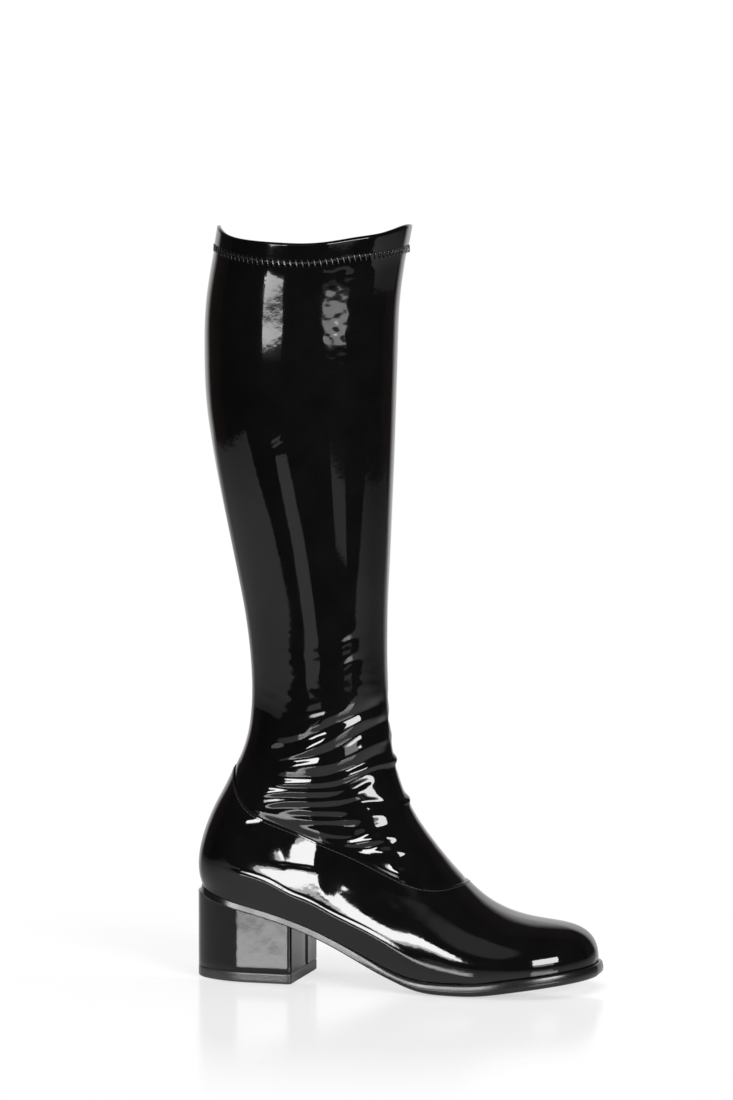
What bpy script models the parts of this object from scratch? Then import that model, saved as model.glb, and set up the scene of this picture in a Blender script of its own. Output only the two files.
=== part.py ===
"""Knee-high stretch boot with a round toe and a chunky block heel (right foot).

Frame: +X to the toe, +Z up, -Y to the outer (lateral) side; the floor is z = 0. Tables are in millimetres, the model in metres.
"""
import bpy
import bmesh
import math
import numpy as np

for old in list(bpy.data.objects):
    bpy.data.objects.remove(old, do_unlink=True)

# ------------------------------------------------------------------ named sizes, mm
UPPER_WALL = 2.0       # foot part: patent face and lining
SHAFT_WALL = 1.4       # stretch leg
HEM_WALL = 2.4         # turned collar hem
HEM_PROUD = 0.5        # the turned hem stands this far out of the leg's face
GAP = 0.3              # between neighbouring pieces
INSOLE_THICK = 2.6
INSOLE_INSET = 3.2     # inside the upper's outer face at the feather line
TOP_PIECE = 6.0        # rubber top piece under the heel
HEEL_BACK, HEEL_BREAST = 0.3, 64.5
HEEL_HALF = 28.4       # half the heel block's width
HEEL_ROUND = 39.5      # depth of the heel's round back
BREAST_CORNER = 2.2    # corner round beside the breast
PIVOT_X, PIVOT_Z = 189.0, 206.0   # cross-sections fan about this point, in front of the instep
TOE_START = 184.0      # the plan outline starts to close towards the toe here
ORIGIN_X, ORIGIN_Y = 121.45, -0.1     # middle of the floor plan
AROUND = 72            # points round a closed loop


def cubic(xs, ys):
    """Natural cubic spline through a table's rows, straight beyond its ends."""
    xs, ys = np.asarray(xs, float), np.asarray(ys, float)
    n = len(xs)
    h = np.diff(xs)
    a, r = np.eye(n), np.zeros(n)
    for i in range(1, n - 1):
        a[i, i - 1], a[i, i], a[i, i + 1] = h[i - 1], 2 * (h[i - 1] + h[i]), h[i]
        r[i] = 6 * ((ys[i + 1] - ys[i]) / h[i] - (ys[i] - ys[i - 1]) / h[i - 1])
    m = np.linalg.solve(a, r)
    first = (ys[1] - ys[0]) / h[0] - h[0] * (2 * m[0] + m[1]) / 6
    last = (ys[-1] - ys[-2]) / h[-1] + h[-1] * (m[-2] + 2 * m[-1]) / 6

    def value(q):
        q = np.asarray(q, float)
        i = np.clip(np.searchsorted(xs, q) - 1, 0, n - 2)
        t = q - xs[i]
        b = (ys[i + 1] - ys[i]) / h[i] - h[i] * (2 * m[i] + m[i + 1]) / 6
        inside = ys[i] + t * (b + t * (m[i] / 2 + t * (m[i + 1] - m[i]) / (6 * h[i])))
        return np.where(q < xs[0], ys[0] + first * (q - xs[0]),
                        np.where(q > xs[-1], ys[-1] + last * (q - xs[-1]), inside))
    return value


def table(rows, key, *columns):
    """One spline for each named column of a table."""
    names, data = rows[0], np.array(rows[1:], float)
    return [cubic(data[:, names.index(key)], data[:, names.index(c)]) for c in columns]


def path(rows):
    """A smooth side-view line through a table of x and z, with its running length."""
    p = np.array(rows[1:], float)
    d = np.concatenate([[0], np.cumsum(np.hypot(*np.diff(p, axis=0).T) ** 0.6)])
    t = np.linspace(0, d[-1], 3000)
    line = np.stack([cubic(d, p[:, 0])(t), cubic(d, p[:, 1])(t)], 1)
    return line, np.concatenate([[0], np.cumsum(np.hypot(*np.diff(line, axis=0).T))])


# ------------------------------------------------------------------ tables
# outsole: height of its underside, its thickness, and how far its edge stands out of the upper
SOLE = [("x", "under", "thick", "lip"),
        (-4, 52.6, 2.7, 0.6), (30, 44.0, 2.7, 0.6), (64, 35.1, 2.8, 0.7), (80, 29.5, 2.9, 0.8), (96, 22.5, 3.1, 1.0),
        (113, 14.1, 3.6, 1.4), (129, 6.5, 4.9, 2.0), (141, 2.0, 6.1, 2.5), (151, -0.2, 6.7, 2.6), (173, -0.4, 7.1, 2.6),
        (190, 2.5, 7.3, 2.6), (206, 4.9, 7.3, 2.6), (224, 7.2, 7.3, 2.6), (246, 9.4, 7.3, 2.6)]
# back outline, heel seat to collar
BACK = [("x", "z"),
        (3.2, 53.8), (1.4, 59.0), (0.6, 66.0), (1.6, 76.2), (4.9, 88.2), (10.4, 101.2), (17.4, 114.2), (24.4, 128.2),
        (30.2, 144.3), (33.0, 164.3), (32.9, 186.4), (30.4, 211.4), (25.8, 236.4), (20.0, 264.5), (14.2, 293.5), (9.8, 318.6),
        (6.6, 343.6), (5.8, 370.6), (6.6, 396.7), (9.8, 418.7), (15.2, 444.0)]
# front outline: toe feather, nose, vamp ridge, instep, shin, collar
FRONT = [("x", "z"),
         (240.0, 15.8), (240.6, 19.6), (239.6, 25.0), (236.0, 31.2), (227.8, 36.4), (215.6, 39.0), (202.0, 40.8),
         (188.8, 44.0), (176.2, 50.0), (164.5, 59.2), (153.0, 71.1), (142.4, 83.8), (132.2, 97.9), (124.2, 114.0),
         (118.8, 134.1), (116.0, 158.2), (114.4, 184.3), (114.2, 210.3), (115.2, 240.3), (116.8, 274.4),
         (118.2, 308.4), (119.6, 344.5), (120.4, 376.5), (121.4, 400.5), (124.2, 420.5), (127.8, 444.0)]
# a row for each cross-section. "at" is its turn about the pivot, a quarter turn as 100, carried on ahead of the pivot along the
# foot (below 0) and above it up the leg (LEG_STEP for each mm). Middle, half widths at the feather and at the widest level
# (outer and inner side), that level as a share of the section's height, and how full its crown is.
FAN, LEG_STEP = 100.0, 0.55
SECTION = [("at", "mid", "low_out", "low_in", "wide_out", "wide_in", "level", "crown"),
           (-18, 5.6, 40.8, 39.7, 41.0, 39.9, 0.07, 2.30),
           (-9, 4.0, 42.1, 40.7, 42.5, 41.2, 0.10, 2.30),
           (0, 2.3, 42.7, 40.2, 43.4, 41.2, 0.14, 2.25),
           (12, 1.3, 40.4, 35.2, 42.0, 38.4, 0.20, 2.20),
           (24, 0.8, 35.0, 28.9, 38.2, 34.8, 0.27, 2.20),
           (36, 0.5, 30.8, 26.8, 34.6, 32.8, 0.29, 2.20),
           (50, 0.2, 29.0, 28.2, 33.0, 32.4, 0.30, 2.15),
           (56, 0.1, 29.7, 29.3, 33.1, 32.7, 0.51, 2.12),
           (64, 0.0, 30.8, 30.8, 33.2, 33.0, 0.62, 2.10),
           (82, 0.0, 33.0, 32.8, 33.5, 33.3, 0.66, 2.0),
           (100, 0.0, 35.6, 35.4, 35.7, 35.5, 0.64, 2.0),
           (122, 0.0, 40.2, 40.0, 40.2, 40.0, 0.61, 2.0),
           (150, 0.0, 46.6, 46.4, 46.6, 46.4, 0.55, 2.0),
           (177, 0.0, 50.8, 50.6, 50.8, 50.6, 0.50, 2.0),
           (204, 0.0, 52.0, 51.8, 52.0, 51.8, 0.50, 2.0),
           (235, 0.0, 52.0, 51.8, 52.0, 51.8, 0.50, 2.0)]
# back of the heel and calf: depth from the back outline to full width, and how full the round is
ROUND = [("z", "depth", "full"),
         (53, 35, 2.5), (78, 38, 2.4), (106, 45, 2.3), (136, 52.0, 2.15), (174, 53.0, 2.0), (230, 53.5, 2.0), (294, 56.0, 2.0),
         (358, 57.0, 2.0), (408, 57.2, 2.0), (444, 56.3, 2.0)]
# seam between foot part and leg, back to front
SEAM = [("x", "z"),
        (23.0, 125.5), (28.0, 116.0), (34.5, 106.0), (44.0, 99.4), (58.0, 93.8), (80.0, 85.6), (104.0, 76.6), (126.0, 66.8),
        (141.0, 61.0), (153.0, 59.4), (162.8, 60.8)]
# the hem's two edges: heights of their high points at back and front, and the dip between them
EDGE = [("line", "back", "front", "dip"),
        ("hem", 431.0, 430.4, 9.2),
        ("collar", 443.6, 443.8, 11.0)]
# course of that dip, as a share of it, in degrees round the leg from the high point at the back
DIP = [("round", "hem", "collar"),
       (0, 0.0, 0.0), (8, 0.06, 0.10), (24, 0.28, 0.44), (40, 0.55, 0.71), (56, 0.80, 0.865), (72, 0.95, 0.96), (86, 1.0, 1.0),
       (104, 0.86, 0.87), (120, 0.62, 0.665), (136, 0.46, 0.46), (152, 0.24, 0.14), (162, 0.10, 0.02), (180, 0.0, 0.0)]
COLLAR_TWIST = 15.0    # the stretch leg sits turned: its high point at the back lies this far round towards the outer side
INNER_DIP = 1.06       # the inner side dips a little deeper

# ------------------------------------------------------------------ form
under_line, sole_thick, sole_lip = table(SOLE, "x", "under", "thick", "lip")
(s_mid, s_low_out, s_low_in, s_wide_out, s_wide_in, s_level, s_crown) = table(
    SECTION, "at", "mid", "low_out", "low_in", "wide_out", "wide_in", "level", "crown")
r_depth, r_full = table(ROUND, "z", "depth", "full")
BACK_LINE, BACK_S = path(BACK)
FRONT_LINE, FRONT_S = path(FRONT)
SEAM_LINE, SEAM_S = path(SEAM)
TOE_I = int(FRONT_LINE[:, 0].argmax())
TOE_X = float(FRONT_LINE[TOE_I, 0])


def sole_under(x):
    """Flat on the floor under the ball, easing into the rises of toe and shank."""
    u = np.maximum(under_line(x), 0.0)
    return u * u / (u + 0.8)


def feather(x):
    return sole_under(x) + sole_thick(x)


def back_x(z):
    return np.interp(z, BACK_LINE[:, 1], BACK_LINE[:, 0])


def rays(line):
    """A side-view line in polar form about the pivot: degrees from straight down to straight back, and distance."""
    d = line - (PIVOT_X, PIVOT_Z)
    turn = np.degrees(np.arctan2(-d[:, 0], -d[:, 1]))
    o = np.argsort(turn)
    return turn[o], np.hypot(*d.T)[o]


SOLE_X = np.linspace(BACK_LINE[0, 0], TOE_X, 1500)
NEAR = rays(FRONT_LINE[TOE_I:])
FAR = rays(np.concatenate([BACK_LINE, np.stack([SOLE_X, feather(SOLE_X)], 1)]))
RIDGE = FRONT_LINE[TOE_I:][::-1]
VAMP = RIDGE[RIDGE[:, 1] < 90]
SHIN = RIDGE[RIDGE[:, 1] > 150][::-1]


def section(x, z):
    """A side-view point's cross-section, and its share of the way from the sole or back to the front outline."""
    ahead, above = x - PIVOT_X, z - PIVOT_Z
    foot = ahead >= 0
    leg = (above >= 0) & ~foot
    turn = np.degrees(np.arctan2(-ahead, -above))
    near, far = np.interp(turn, *NEAR), np.interp(turn, *FAR)
    share = (far - np.hypot(ahead, above)) / (far - near)
    at = turn / 90 * FAN
    low, top = feather(np.minimum(x, TOE_X)), np.interp(x, VAMP[:, 0], VAMP[:, 1])
    share = np.where(foot, (z - low) / np.maximum(top - low, 1e-6), share)
    at = np.where(foot, np.degrees(ahead / np.minimum(above, -60)) / 90 * FAN, at)
    back, front = back_x(z), np.interp(z, SHIN[:, 1], SHIN[:, 0])
    share = np.where(leg, (x - back) / (front - back), share)
    ease = np.clip(above / 80, 0, 1)
    step = np.degrees(1 / np.maximum(-ahead, 40)) / 90 * FAN
    step = step + (LEG_STEP - step) * ease * ease * (3 - 2 * ease)
    return np.where(leg, FAN + above * step, at), np.clip(share, 0, 1)


def half_width(x, z, outer):
    """Half the boot's width at a side-view point, to its outer or inner side."""
    at, share = section(x, z)
    low, wide = (s_low_out(at), s_wide_out(at)) if outer else (s_low_in(at), s_wide_in(at))
    level, crown = s_level(at), s_crown(at)
    w = wide + (low - wide) * np.clip(1 - share / level, 0, 1) ** 2.6
    w = w * np.maximum(1 - np.clip((share - level) / (1 - level), 0, 1) ** crown, 0) ** 0.5
    w = w * np.maximum(1 - (1 - np.clip((x - back_x(z)) / r_depth(z), 0, 1)) ** r_full(z), 0) ** 0.5
    toe = np.clip((x - TOE_START) / (TOE_X - TOE_START), 0, 1)
    return w * np.maximum(1 - toe ** 2.5, 0) ** 0.48


def on(line, run, s):
    return np.stack([np.interp(s, run, line[:, 0]), np.interp(s, run, line[:, 1])], -1)


def back_s(z):
    return float(np.interp(z, BACK_LINE[:, 1], BACK_S))


def front_s(z):
    leg = FRONT_LINE[:, 1] > 200
    return float(np.interp(z, FRONT_LINE[leg, 1], FRONT_S[leg]))


SEAM_BACK = back_s(SEAM[1][1])
SEAM_FRONT = float(FRONT_S[np.argmin(np.hypot(*(FRONT_LINE - SEAM[-1]).T))])
EDGES = {row[0]: dict(zip(EDGE[0][1:], row[1:])) for row in EDGE[1:]}
DIPS = dict(zip(DIP[0][1:], table(DIP, *DIP[0])))


def seam_line(t, lift):
    p = on(SEAM_LINE, SEAM_S, t * SEAM_S[-1])
    p = p + (1 - t)[:, None] * (on(BACK_LINE, BACK_S, SEAM_BACK) - SEAM_LINE[0])
    p = p + t[:, None] * (on(FRONT_LINE, FRONT_S, SEAM_FRONT) - SEAM_LINE[-1])
    out = np.gradient(p, axis=0)
    out = out / np.linalg.norm(out, axis=1, keepdims=True)
    return p + lift * np.stack([-out[:, 1], out[:, 0]], 1)


def edge_dip(name, side, t):
    """How far an edge of the hem lies below its high points."""
    turn = np.degrees(np.arccos(1 - 2 * t)) * (1 if side == "out" else -1)
    off = (turn - COLLAR_TWIST + 180) % 360 - 180
    return EDGES[name]["dip"] * np.where(off > 0, 1.0, INNER_DIP) * DIPS[name](np.abs(off))


def edge_line(name, side, t, lift):
    """An edge of the hem in side view."""
    e = EDGES[name]
    z = e["back"] + (e["front"] - e["back"]) * t + lift - edge_dip(name, side, t)
    back = np.array([on(BACK_LINE, BACK_S, back_s(q))[0] for q in z])
    front = np.array([on(FRONT_LINE, FRONT_S, front_s(q))[0] for q in z])
    return np.stack([back + (front - back) * t, z], -1)


def feather_line(t):
    x = BACK_LINE[0, 0] + (FRONT_LINE[0, 0] - BACK_LINE[0, 0]) * t
    return np.stack([x, feather(x)], -1)


def fill(t, v, bottom, top, left, right):
    """Fills a four-sided side-view region: t from back to front, v from its lower to its upper line."""
    T, V = t[None, :, None], v[:, None, None]
    b, u, l, r = bottom[None], top[None], left[:, None], right[:, None]
    corners = (1 - V) * ((1 - T) * b[:, :1] + T * b[:, -1:]) + V * ((1 - T) * u[:, :1] + T * u[:, -1:])
    return (1 - V) * b + V * u + (1 - T) * l + T * r - corners


def region(piece, side, t, v):
    """Side-view grid of the upper, the shaft or the hem."""
    g = GAP / 2
    if piece == "upper":
        ends = (0.0, SEAM_BACK - g), (0.0, SEAM_FRONT - g)
        low, top = feather_line(t), seam_line(t, -g)
    elif piece == "shaft":
        low, top = seam_line(t, g), edge_line("hem", side, t, -g)
        ends = (SEAM_BACK + g, back_s(top[0, 1])), (SEAM_FRONT + g, front_s(top[-1, 1]))
    else:
        low, top = edge_line("hem", side, t, g), edge_line("collar", side, t, 0.0)
        ends = (back_s(low[0, 1]), back_s(top[0, 1])), (front_s(low[-1, 1]), front_s(top[-1, 1]))
    (b0, b1), (f0, f1) = ends
    left, right = on(BACK_LINE, BACK_S, b0 + (b1 - b0) * v), on(FRONT_LINE, FRONT_S, f0 + (f1 - f0) * v)
    low[0], low[-1], top[0], top[-1] = left[0], right[0], left[-1], right[-1]
    return fill(t, v, low, top, left, right)


def loops(piece, n, v):
    """Closed loops round the boot: from the back forward along the outer side, and back along the inner side."""
    half = n // 2
    t = (1 - np.cos(np.pi * np.arange(half + 1) / half)) / 2
    out = np.zeros((len(v), n, 3))
    for side, cols in (("out", np.arange(half + 1)), ("in", (n - np.arange(half + 1)) % n)):
        p = region(piece, side, t, v)
        w = half_width(p[..., 0], p[..., 1], side == "out")
        w[:, 0] = w[:, -1] = 0.0
        mid = s_mid(section(p[..., 0], p[..., 1])[0])
        out[:, cols] = np.stack([p[..., 0], mid + (-w if side == "out" else w), p[..., 1]], -1)
    return out


def outward(g):
    """Unit normals of a stack of closed loops."""
    du = np.roll(g, -1, 1) - np.roll(g, 1, 1)
    dv = np.empty_like(g)
    dv[1:-1], dv[0], dv[-1] = g[2:] - g[:-2], g[1] - g[0], g[-1] - g[-2]
    n = np.cross(du, dv)
    return n / np.maximum(np.linalg.norm(n, axis=-1, keepdims=True), 1e-9)


# ------------------------------------------------------------------ solids
def solid(name, verts, faces, colour, rough):
    """One closed, faceted solid with its own material."""
    bm = bmesh.new()
    vs = [bm.verts.new(((p[0] - ORIGIN_X) / 1000, (p[1] - ORIGIN_Y) / 1000, p[2] / 1000)) for p in verts]
    for f in faces:
        ids = [i for k, i in enumerate(f) if i != f[k - 1]]
        if len(ids) > 2:
            bm.faces.new([vs[i] for i in ids])
    bmesh.ops.triangulate(bm, faces=bm.faces[:])
    bmesh.ops.recalc_face_normals(bm, faces=bm.faces[:])
    mesh = bpy.data.meshes.new(name)
    bm.to_mesh(mesh)
    bm.free()
    ob = bpy.data.objects.new(name, mesh)
    bpy.context.scene.collection.objects.link(ob)
    mat = bpy.data.materials.new(name)
    mat.use_nodes = True
    b = mat.node_tree.nodes["Principled BSDF"]
    b.inputs["Base Color"].default_value = (*colour, 1.0)
    b.inputs["Roughness"].default_value = rough
    mesh.materials.append(mat)
    return ob


def wall(name, outer, inner, colour, rough):
    """A hollow wall, open at both ends, from its outer and inner loops."""
    rows, n = outer.shape[:2]
    verts = np.concatenate([outer.reshape(-1, 3), inner.reshape(-1, 3)])
    k = rows * n
    faces = []
    for j in range(n):
        q = (j + 1) % n
        for i in range(rows - 1):
            a, b, c, d = i * n + j, i * n + q, (i + 1) * n + q, (i + 1) * n + j
            faces += [(a, b, c, d), (k + d, k + c, k + b, k + a)]
        t = (rows - 1) * n
        faces += [(q, j, k + j, k + q), (t + j, t + q, k + t + q, k + t + j)]
    return solid(name, verts, faces, colour, rough)


def slab(name, rings, colour, rough):
    """A solid from rings of equal count, capped across by strips between the outer and inner side."""
    n = rings[0].shape[0]
    half = n // 2
    faces = []
    for i in range(len(rings) - 1):
        for j in range(n):
            q = (j + 1) % n
            faces.append((i * n + j, i * n + q, (i + 1) * n + q, (i + 1) * n + j))
    for base in (0, (len(rings) - 1) * n):
        for j in range(half):
            faces.append((base + j, base + j + 1, base + (n - j - 1) % n, base + (n - j) % n))
    return solid(name, np.concatenate(rings), faces, colour, rough)


def plan_offset(ring, by):
    """Moves a closed plan outline outward by a distance for each of its points."""
    d = np.roll(ring, -1, 0)[:, :2] - np.roll(ring, 1, 0)[:, :2]
    d = d / np.linalg.norm(d, axis=1, keepdims=True)
    return ring[:, :2] + np.stack([d[:, 1], -d[:, 0]], 1) * np.reshape(by, (-1, 1))


def ring_at(plan, height):
    return np.column_stack([plan, height(plan[:, 0])])


BLACK = (0.010, 0.010, 0.011)
stack = {"upper": loops("upper", AROUND, np.linspace(0, 1, 15) ** 1.2),
         "shaft": loops("shaft", AROUND, np.linspace(0, 1, 15)),
         "collar_hem": loops("collar_hem", AROUND, np.linspace(0, 1, 3))}
normal = outward(np.concatenate(list(stack.values())))
row = 0
for piece, (thick, proud, rough) in {"upper": (UPPER_WALL, 0.0, 0.08), "shaft": (SHAFT_WALL, 0.0, 0.08),
                                     "collar_hem": (HEM_WALL, HEM_PROUD, 0.12)}.items():
    g = stack[piece]
    n = normal[row:row + len(g)]
    row += len(g)
    inner = g - n * (thick - proud)
    if piece == "upper":
        inner[0, :, 2] = feather(inner[0, :, 0])
    wall(piece, g + n * proud, inner, BLACK, rough)

foot = stack["upper"][0]                     # feather outline
lip = sole_lip(foot[:, 0])
outsole_rings = [ring_at(plan_offset(foot, lip - 0.9), lambda x: feather(x) - GAP),
                 ring_at(plan_offset(foot, lip), lambda x: sole_under(x) + 0.72 * sole_thick(x)),
                 ring_at(plan_offset(foot, lip), lambda x: sole_under(x) + 0.30 * sole_thick(x)),
                 ring_at(plan_offset(foot, lip - 0.9), sole_under)]
slab("outsole", outsole_rings, (0.014, 0.014, 0.015), 0.2)

inset = plan_offset(foot, np.full(AROUND, -INSOLE_INSET))
slab("insole", [ring_at(inset, lambda x: feather(x) + GAP),
                ring_at(inset, lambda x: feather(x) + GAP + 0.7 * INSOLE_THICK),
                ring_at(plan_offset(foot, np.full(AROUND, -INSOLE_INSET - 0.8)), lambda x: feather(x) + GAP + INSOLE_THICK)],
     (0.05, 0.045, 0.042), 0.7)


def heel_plan(grow):
    """The heel's D-shaped plan: round back, straight sides, flat breast with small corner rounds."""
    c = BREAST_CORNER
    turn = np.linspace(0, math.pi / 2, 11)
    x = HEEL_ROUND * (1 - np.cos(turn)) + HEEL_BACK
    y = HEEL_HALF * np.sin(turn) ** 0.92
    side = np.linspace(x[-1], HEEL_BREAST - c, 4)[1:]
    bend = np.linspace(0, math.pi / 2, 4)[1:]
    x = np.concatenate([x, side, HEEL_BREAST - c + c * np.sin(bend), [HEEL_BREAST]])
    y = np.concatenate([y, np.full(3, HEEL_HALF), HEEL_HALF - c + c * np.cos(bend), [0.0]])
    x = np.where(x > 30, x, x - grow * (1 - x / 30))
    y = y + grow * (y > 0)
    ring = np.concatenate([np.column_stack([x, -y]), np.column_stack([x, y])[-2:0:-1]])
    return ring


base = TOP_PIECE + GAP
block = heel_plan(0.0)
slab("heel", [ring_at(block, lambda x: np.full(len(x), base)), ring_at(block, lambda x: sole_under(x) - GAP)], BLACK, 0.1)
tread = heel_plan(0.0)
slab("top_piece", [ring_at(tread, lambda x: np.zeros(len(x))), ring_at(tread, lambda x: np.full(len(x), TOP_PIECE))],
     (0.02, 0.02, 0.02), 0.6)
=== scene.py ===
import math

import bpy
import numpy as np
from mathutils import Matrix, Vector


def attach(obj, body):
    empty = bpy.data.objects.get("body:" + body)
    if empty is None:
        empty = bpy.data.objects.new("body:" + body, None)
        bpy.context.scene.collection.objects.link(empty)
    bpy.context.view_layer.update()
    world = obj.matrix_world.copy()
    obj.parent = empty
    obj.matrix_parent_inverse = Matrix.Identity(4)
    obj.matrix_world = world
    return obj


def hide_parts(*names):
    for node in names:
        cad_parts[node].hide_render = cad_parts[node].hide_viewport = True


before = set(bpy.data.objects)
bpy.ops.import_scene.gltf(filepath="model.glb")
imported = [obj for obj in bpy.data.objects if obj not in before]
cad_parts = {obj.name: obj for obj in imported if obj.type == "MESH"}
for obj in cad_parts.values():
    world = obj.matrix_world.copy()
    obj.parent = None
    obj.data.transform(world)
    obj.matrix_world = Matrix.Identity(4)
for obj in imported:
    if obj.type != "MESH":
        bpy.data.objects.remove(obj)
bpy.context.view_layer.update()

# Looks of the knee-high stretch boot: patent foot and leg with their folds, hem, sole, heel, lining and stitches.
#
# Frame: +X to the toe, +Z up, -Y to the outer (lateral) side; the floor is z = 0. Tables are in millimetres, the model in metres.

# ------------------------------------------------------------------ named sizes, mm
UPPER_WALL = 2.0       # foot part: patent face and lining
SHAFT_WALL = 1.4       # stretch leg
HEM_WALL = 2.4         # turned collar hem
HEM_PROUD = 0.5        # the turned hem stands this far out of the leg's face
GAP = 0.3              # between neighbouring pieces
INSOLE_THICK = 2.6
INSOLE_INSET = 3.2     # inside the upper's outer face at the feather line
TOP_PIECE = 6.0        # rubber top piece under the heel
HEEL_BACK, HEEL_BREAST = 0.3, 64.5
HEEL_HALF = 28.4       # half the heel block's width
HEEL_ROUND = 39.5      # depth of the heel's round back
BREAST_CORNER = 2.2    # corner round beside the breast
PIVOT_X, PIVOT_Z = 189.0, 206.0   # cross-sections fan about this point, in front of the instep
TOE_START = 184.0      # the plan outline starts to close towards the toe here
ORIGIN_X, ORIGIN_Y = 121.45, -0.1     # middle of the floor plan
AROUND = 72            # points round a closed loop


def cubic(xs, ys):
    """Natural cubic spline through a table's rows, straight beyond its ends."""
    xs, ys = np.asarray(xs, float), np.asarray(ys, float)
    n = len(xs)
    h = np.diff(xs)
    a, r = np.eye(n), np.zeros(n)
    for i in range(1, n - 1):
        a[i, i - 1], a[i, i], a[i, i + 1] = h[i - 1], 2 * (h[i - 1] + h[i]), h[i]
        r[i] = 6 * ((ys[i + 1] - ys[i]) / h[i] - (ys[i] - ys[i - 1]) / h[i - 1])
    m = np.linalg.solve(a, r)
    first = (ys[1] - ys[0]) / h[0] - h[0] * (2 * m[0] + m[1]) / 6
    last = (ys[-1] - ys[-2]) / h[-1] + h[-1] * (m[-2] + 2 * m[-1]) / 6

    def value(q):
        q = np.asarray(q, float)
        i = np.clip(np.searchsorted(xs, q) - 1, 0, n - 2)
        t = q - xs[i]
        b = (ys[i + 1] - ys[i]) / h[i] - h[i] * (2 * m[i] + m[i + 1]) / 6
        inside = ys[i] + t * (b + t * (m[i] / 2 + t * (m[i + 1] - m[i]) / (6 * h[i])))
        return np.where(q < xs[0], ys[0] + first * (q - xs[0]),
                        np.where(q > xs[-1], ys[-1] + last * (q - xs[-1]), inside))
    return value


def table(rows, key, *columns):
    """One spline for each named column of a table."""
    names, data = rows[0], np.array(rows[1:], float)
    return [cubic(data[:, names.index(key)], data[:, names.index(c)]) for c in columns]


def path(rows):
    """A smooth side-view line through a table of x and z, with its running length."""
    p = np.array(rows[1:], float)
    d = np.concatenate([[0], np.cumsum(np.hypot(*np.diff(p, axis=0).T) ** 0.6)])
    t = np.linspace(0, d[-1], 3000)
    line = np.stack([cubic(d, p[:, 0])(t), cubic(d, p[:, 1])(t)], 1)
    return line, np.concatenate([[0], np.cumsum(np.hypot(*np.diff(line, axis=0).T))])


# ------------------------------------------------------------------ tables
# outsole: height of its underside, its thickness, and how far its edge stands out of the upper
SOLE = [("x", "under", "thick", "lip"),
        (-4, 52.6, 2.7, 0.6), (30, 44.0, 2.7, 0.6), (64, 35.1, 2.8, 0.7), (80, 29.5, 2.9, 0.8), (96, 22.5, 3.1, 1.0),
        (113, 14.1, 3.6, 1.4), (129, 6.5, 4.9, 2.0), (141, 2.0, 6.1, 2.5), (151, -0.2, 6.7, 2.6), (173, -0.4, 7.1, 2.6),
        (190, 2.5, 7.3, 2.6), (206, 4.9, 7.3, 2.6), (224, 7.2, 7.3, 2.6), (246, 9.4, 7.3, 2.6)]
# back outline, heel seat to collar
BACK = [("x", "z"),
        (3.2, 53.8), (1.4, 59.0), (0.6, 66.0), (1.6, 76.2), (4.9, 88.2), (10.4, 101.2), (17.4, 114.2), (24.4, 128.2),
        (30.2, 144.3), (33.0, 164.3), (32.9, 186.4), (30.4, 211.4), (25.8, 236.4), (20.0, 264.5), (14.2, 293.5), (9.8, 318.6),
        (6.6, 343.6), (5.8, 370.6), (6.6, 396.7), (9.8, 418.7), (15.2, 444.0)]
# front outline: toe feather, nose, vamp ridge, instep, shin, collar
FRONT = [("x", "z"),
         (240.0, 15.8), (240.6, 19.6), (239.6, 25.0), (236.0, 31.2), (227.8, 36.4), (215.6, 39.0), (202.0, 40.8),
         (188.8, 44.0), (176.2, 50.0), (164.5, 59.2), (153.0, 71.1), (142.4, 83.8), (132.2, 97.9), (124.2, 114.0),
         (118.8, 134.1), (116.0, 158.2), (114.4, 184.3), (114.2, 210.3), (115.2, 240.3), (116.8, 274.4),
         (118.2, 308.4), (119.6, 344.5), (120.4, 376.5), (121.4, 400.5), (124.2, 420.5), (127.8, 444.0)]
# a row for each cross-section. "at" is its turn about the pivot, a quarter turn as 100, carried on ahead of the pivot along the
# foot (below 0) and above it up the leg (LEG_STEP for each mm). Middle, half widths at the feather and at the widest level
# (outer and inner side), that level as a share of the section's height, and how full its crown is.
FAN, LEG_STEP = 100.0, 0.55
SECTION = [("at", "mid", "low_out", "low_in", "wide_out", "wide_in", "level", "crown"),
           (-18, 5.6, 40.8, 39.7, 41.0, 39.9, 0.07, 2.30),
           (-9, 4.0, 42.1, 40.7, 42.5, 41.2, 0.10, 2.30),
           (0, 2.3, 42.7, 40.2, 43.4, 41.2, 0.14, 2.25),
           (12, 1.3, 40.4, 35.2, 42.0, 38.4, 0.20, 2.20),
           (24, 0.8, 35.0, 28.9, 38.2, 34.8, 0.27, 2.20),
           (36, 0.5, 30.8, 26.8, 34.6, 32.8, 0.29, 2.20),
           (50, 0.2, 29.0, 28.2, 33.0, 32.4, 0.30, 2.15),
           (56, 0.1, 29.7, 29.3, 33.1, 32.7, 0.51, 2.12),
           (64, 0.0, 30.8, 30.8, 33.2, 33.0, 0.62, 2.10),
           (82, 0.0, 33.0, 32.8, 33.5, 33.3, 0.66, 2.0),
           (100, 0.0, 35.6, 35.4, 35.7, 35.5, 0.64, 2.0),
           (122, 0.0, 40.2, 40.0, 40.2, 40.0, 0.61, 2.0),
           (150, 0.0, 46.6, 46.4, 46.6, 46.4, 0.55, 2.0),
           (177, 0.0, 50.8, 50.6, 50.8, 50.6, 0.50, 2.0),
           (204, 0.0, 52.0, 51.8, 52.0, 51.8, 0.50, 2.0),
           (235, 0.0, 52.0, 51.8, 52.0, 51.8, 0.50, 2.0)]
# back of the heel and calf: depth from the back outline to full width, and how full the round is
ROUND = [("z", "depth", "full"),
         (53, 35, 2.5), (78, 38, 2.4), (106, 45, 2.3), (136, 52.0, 2.15), (174, 53.0, 2.0), (230, 53.5, 2.0), (294, 56.0, 2.0),
         (358, 57.0, 2.0), (408, 57.2, 2.0), (444, 56.3, 2.0)]
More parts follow.
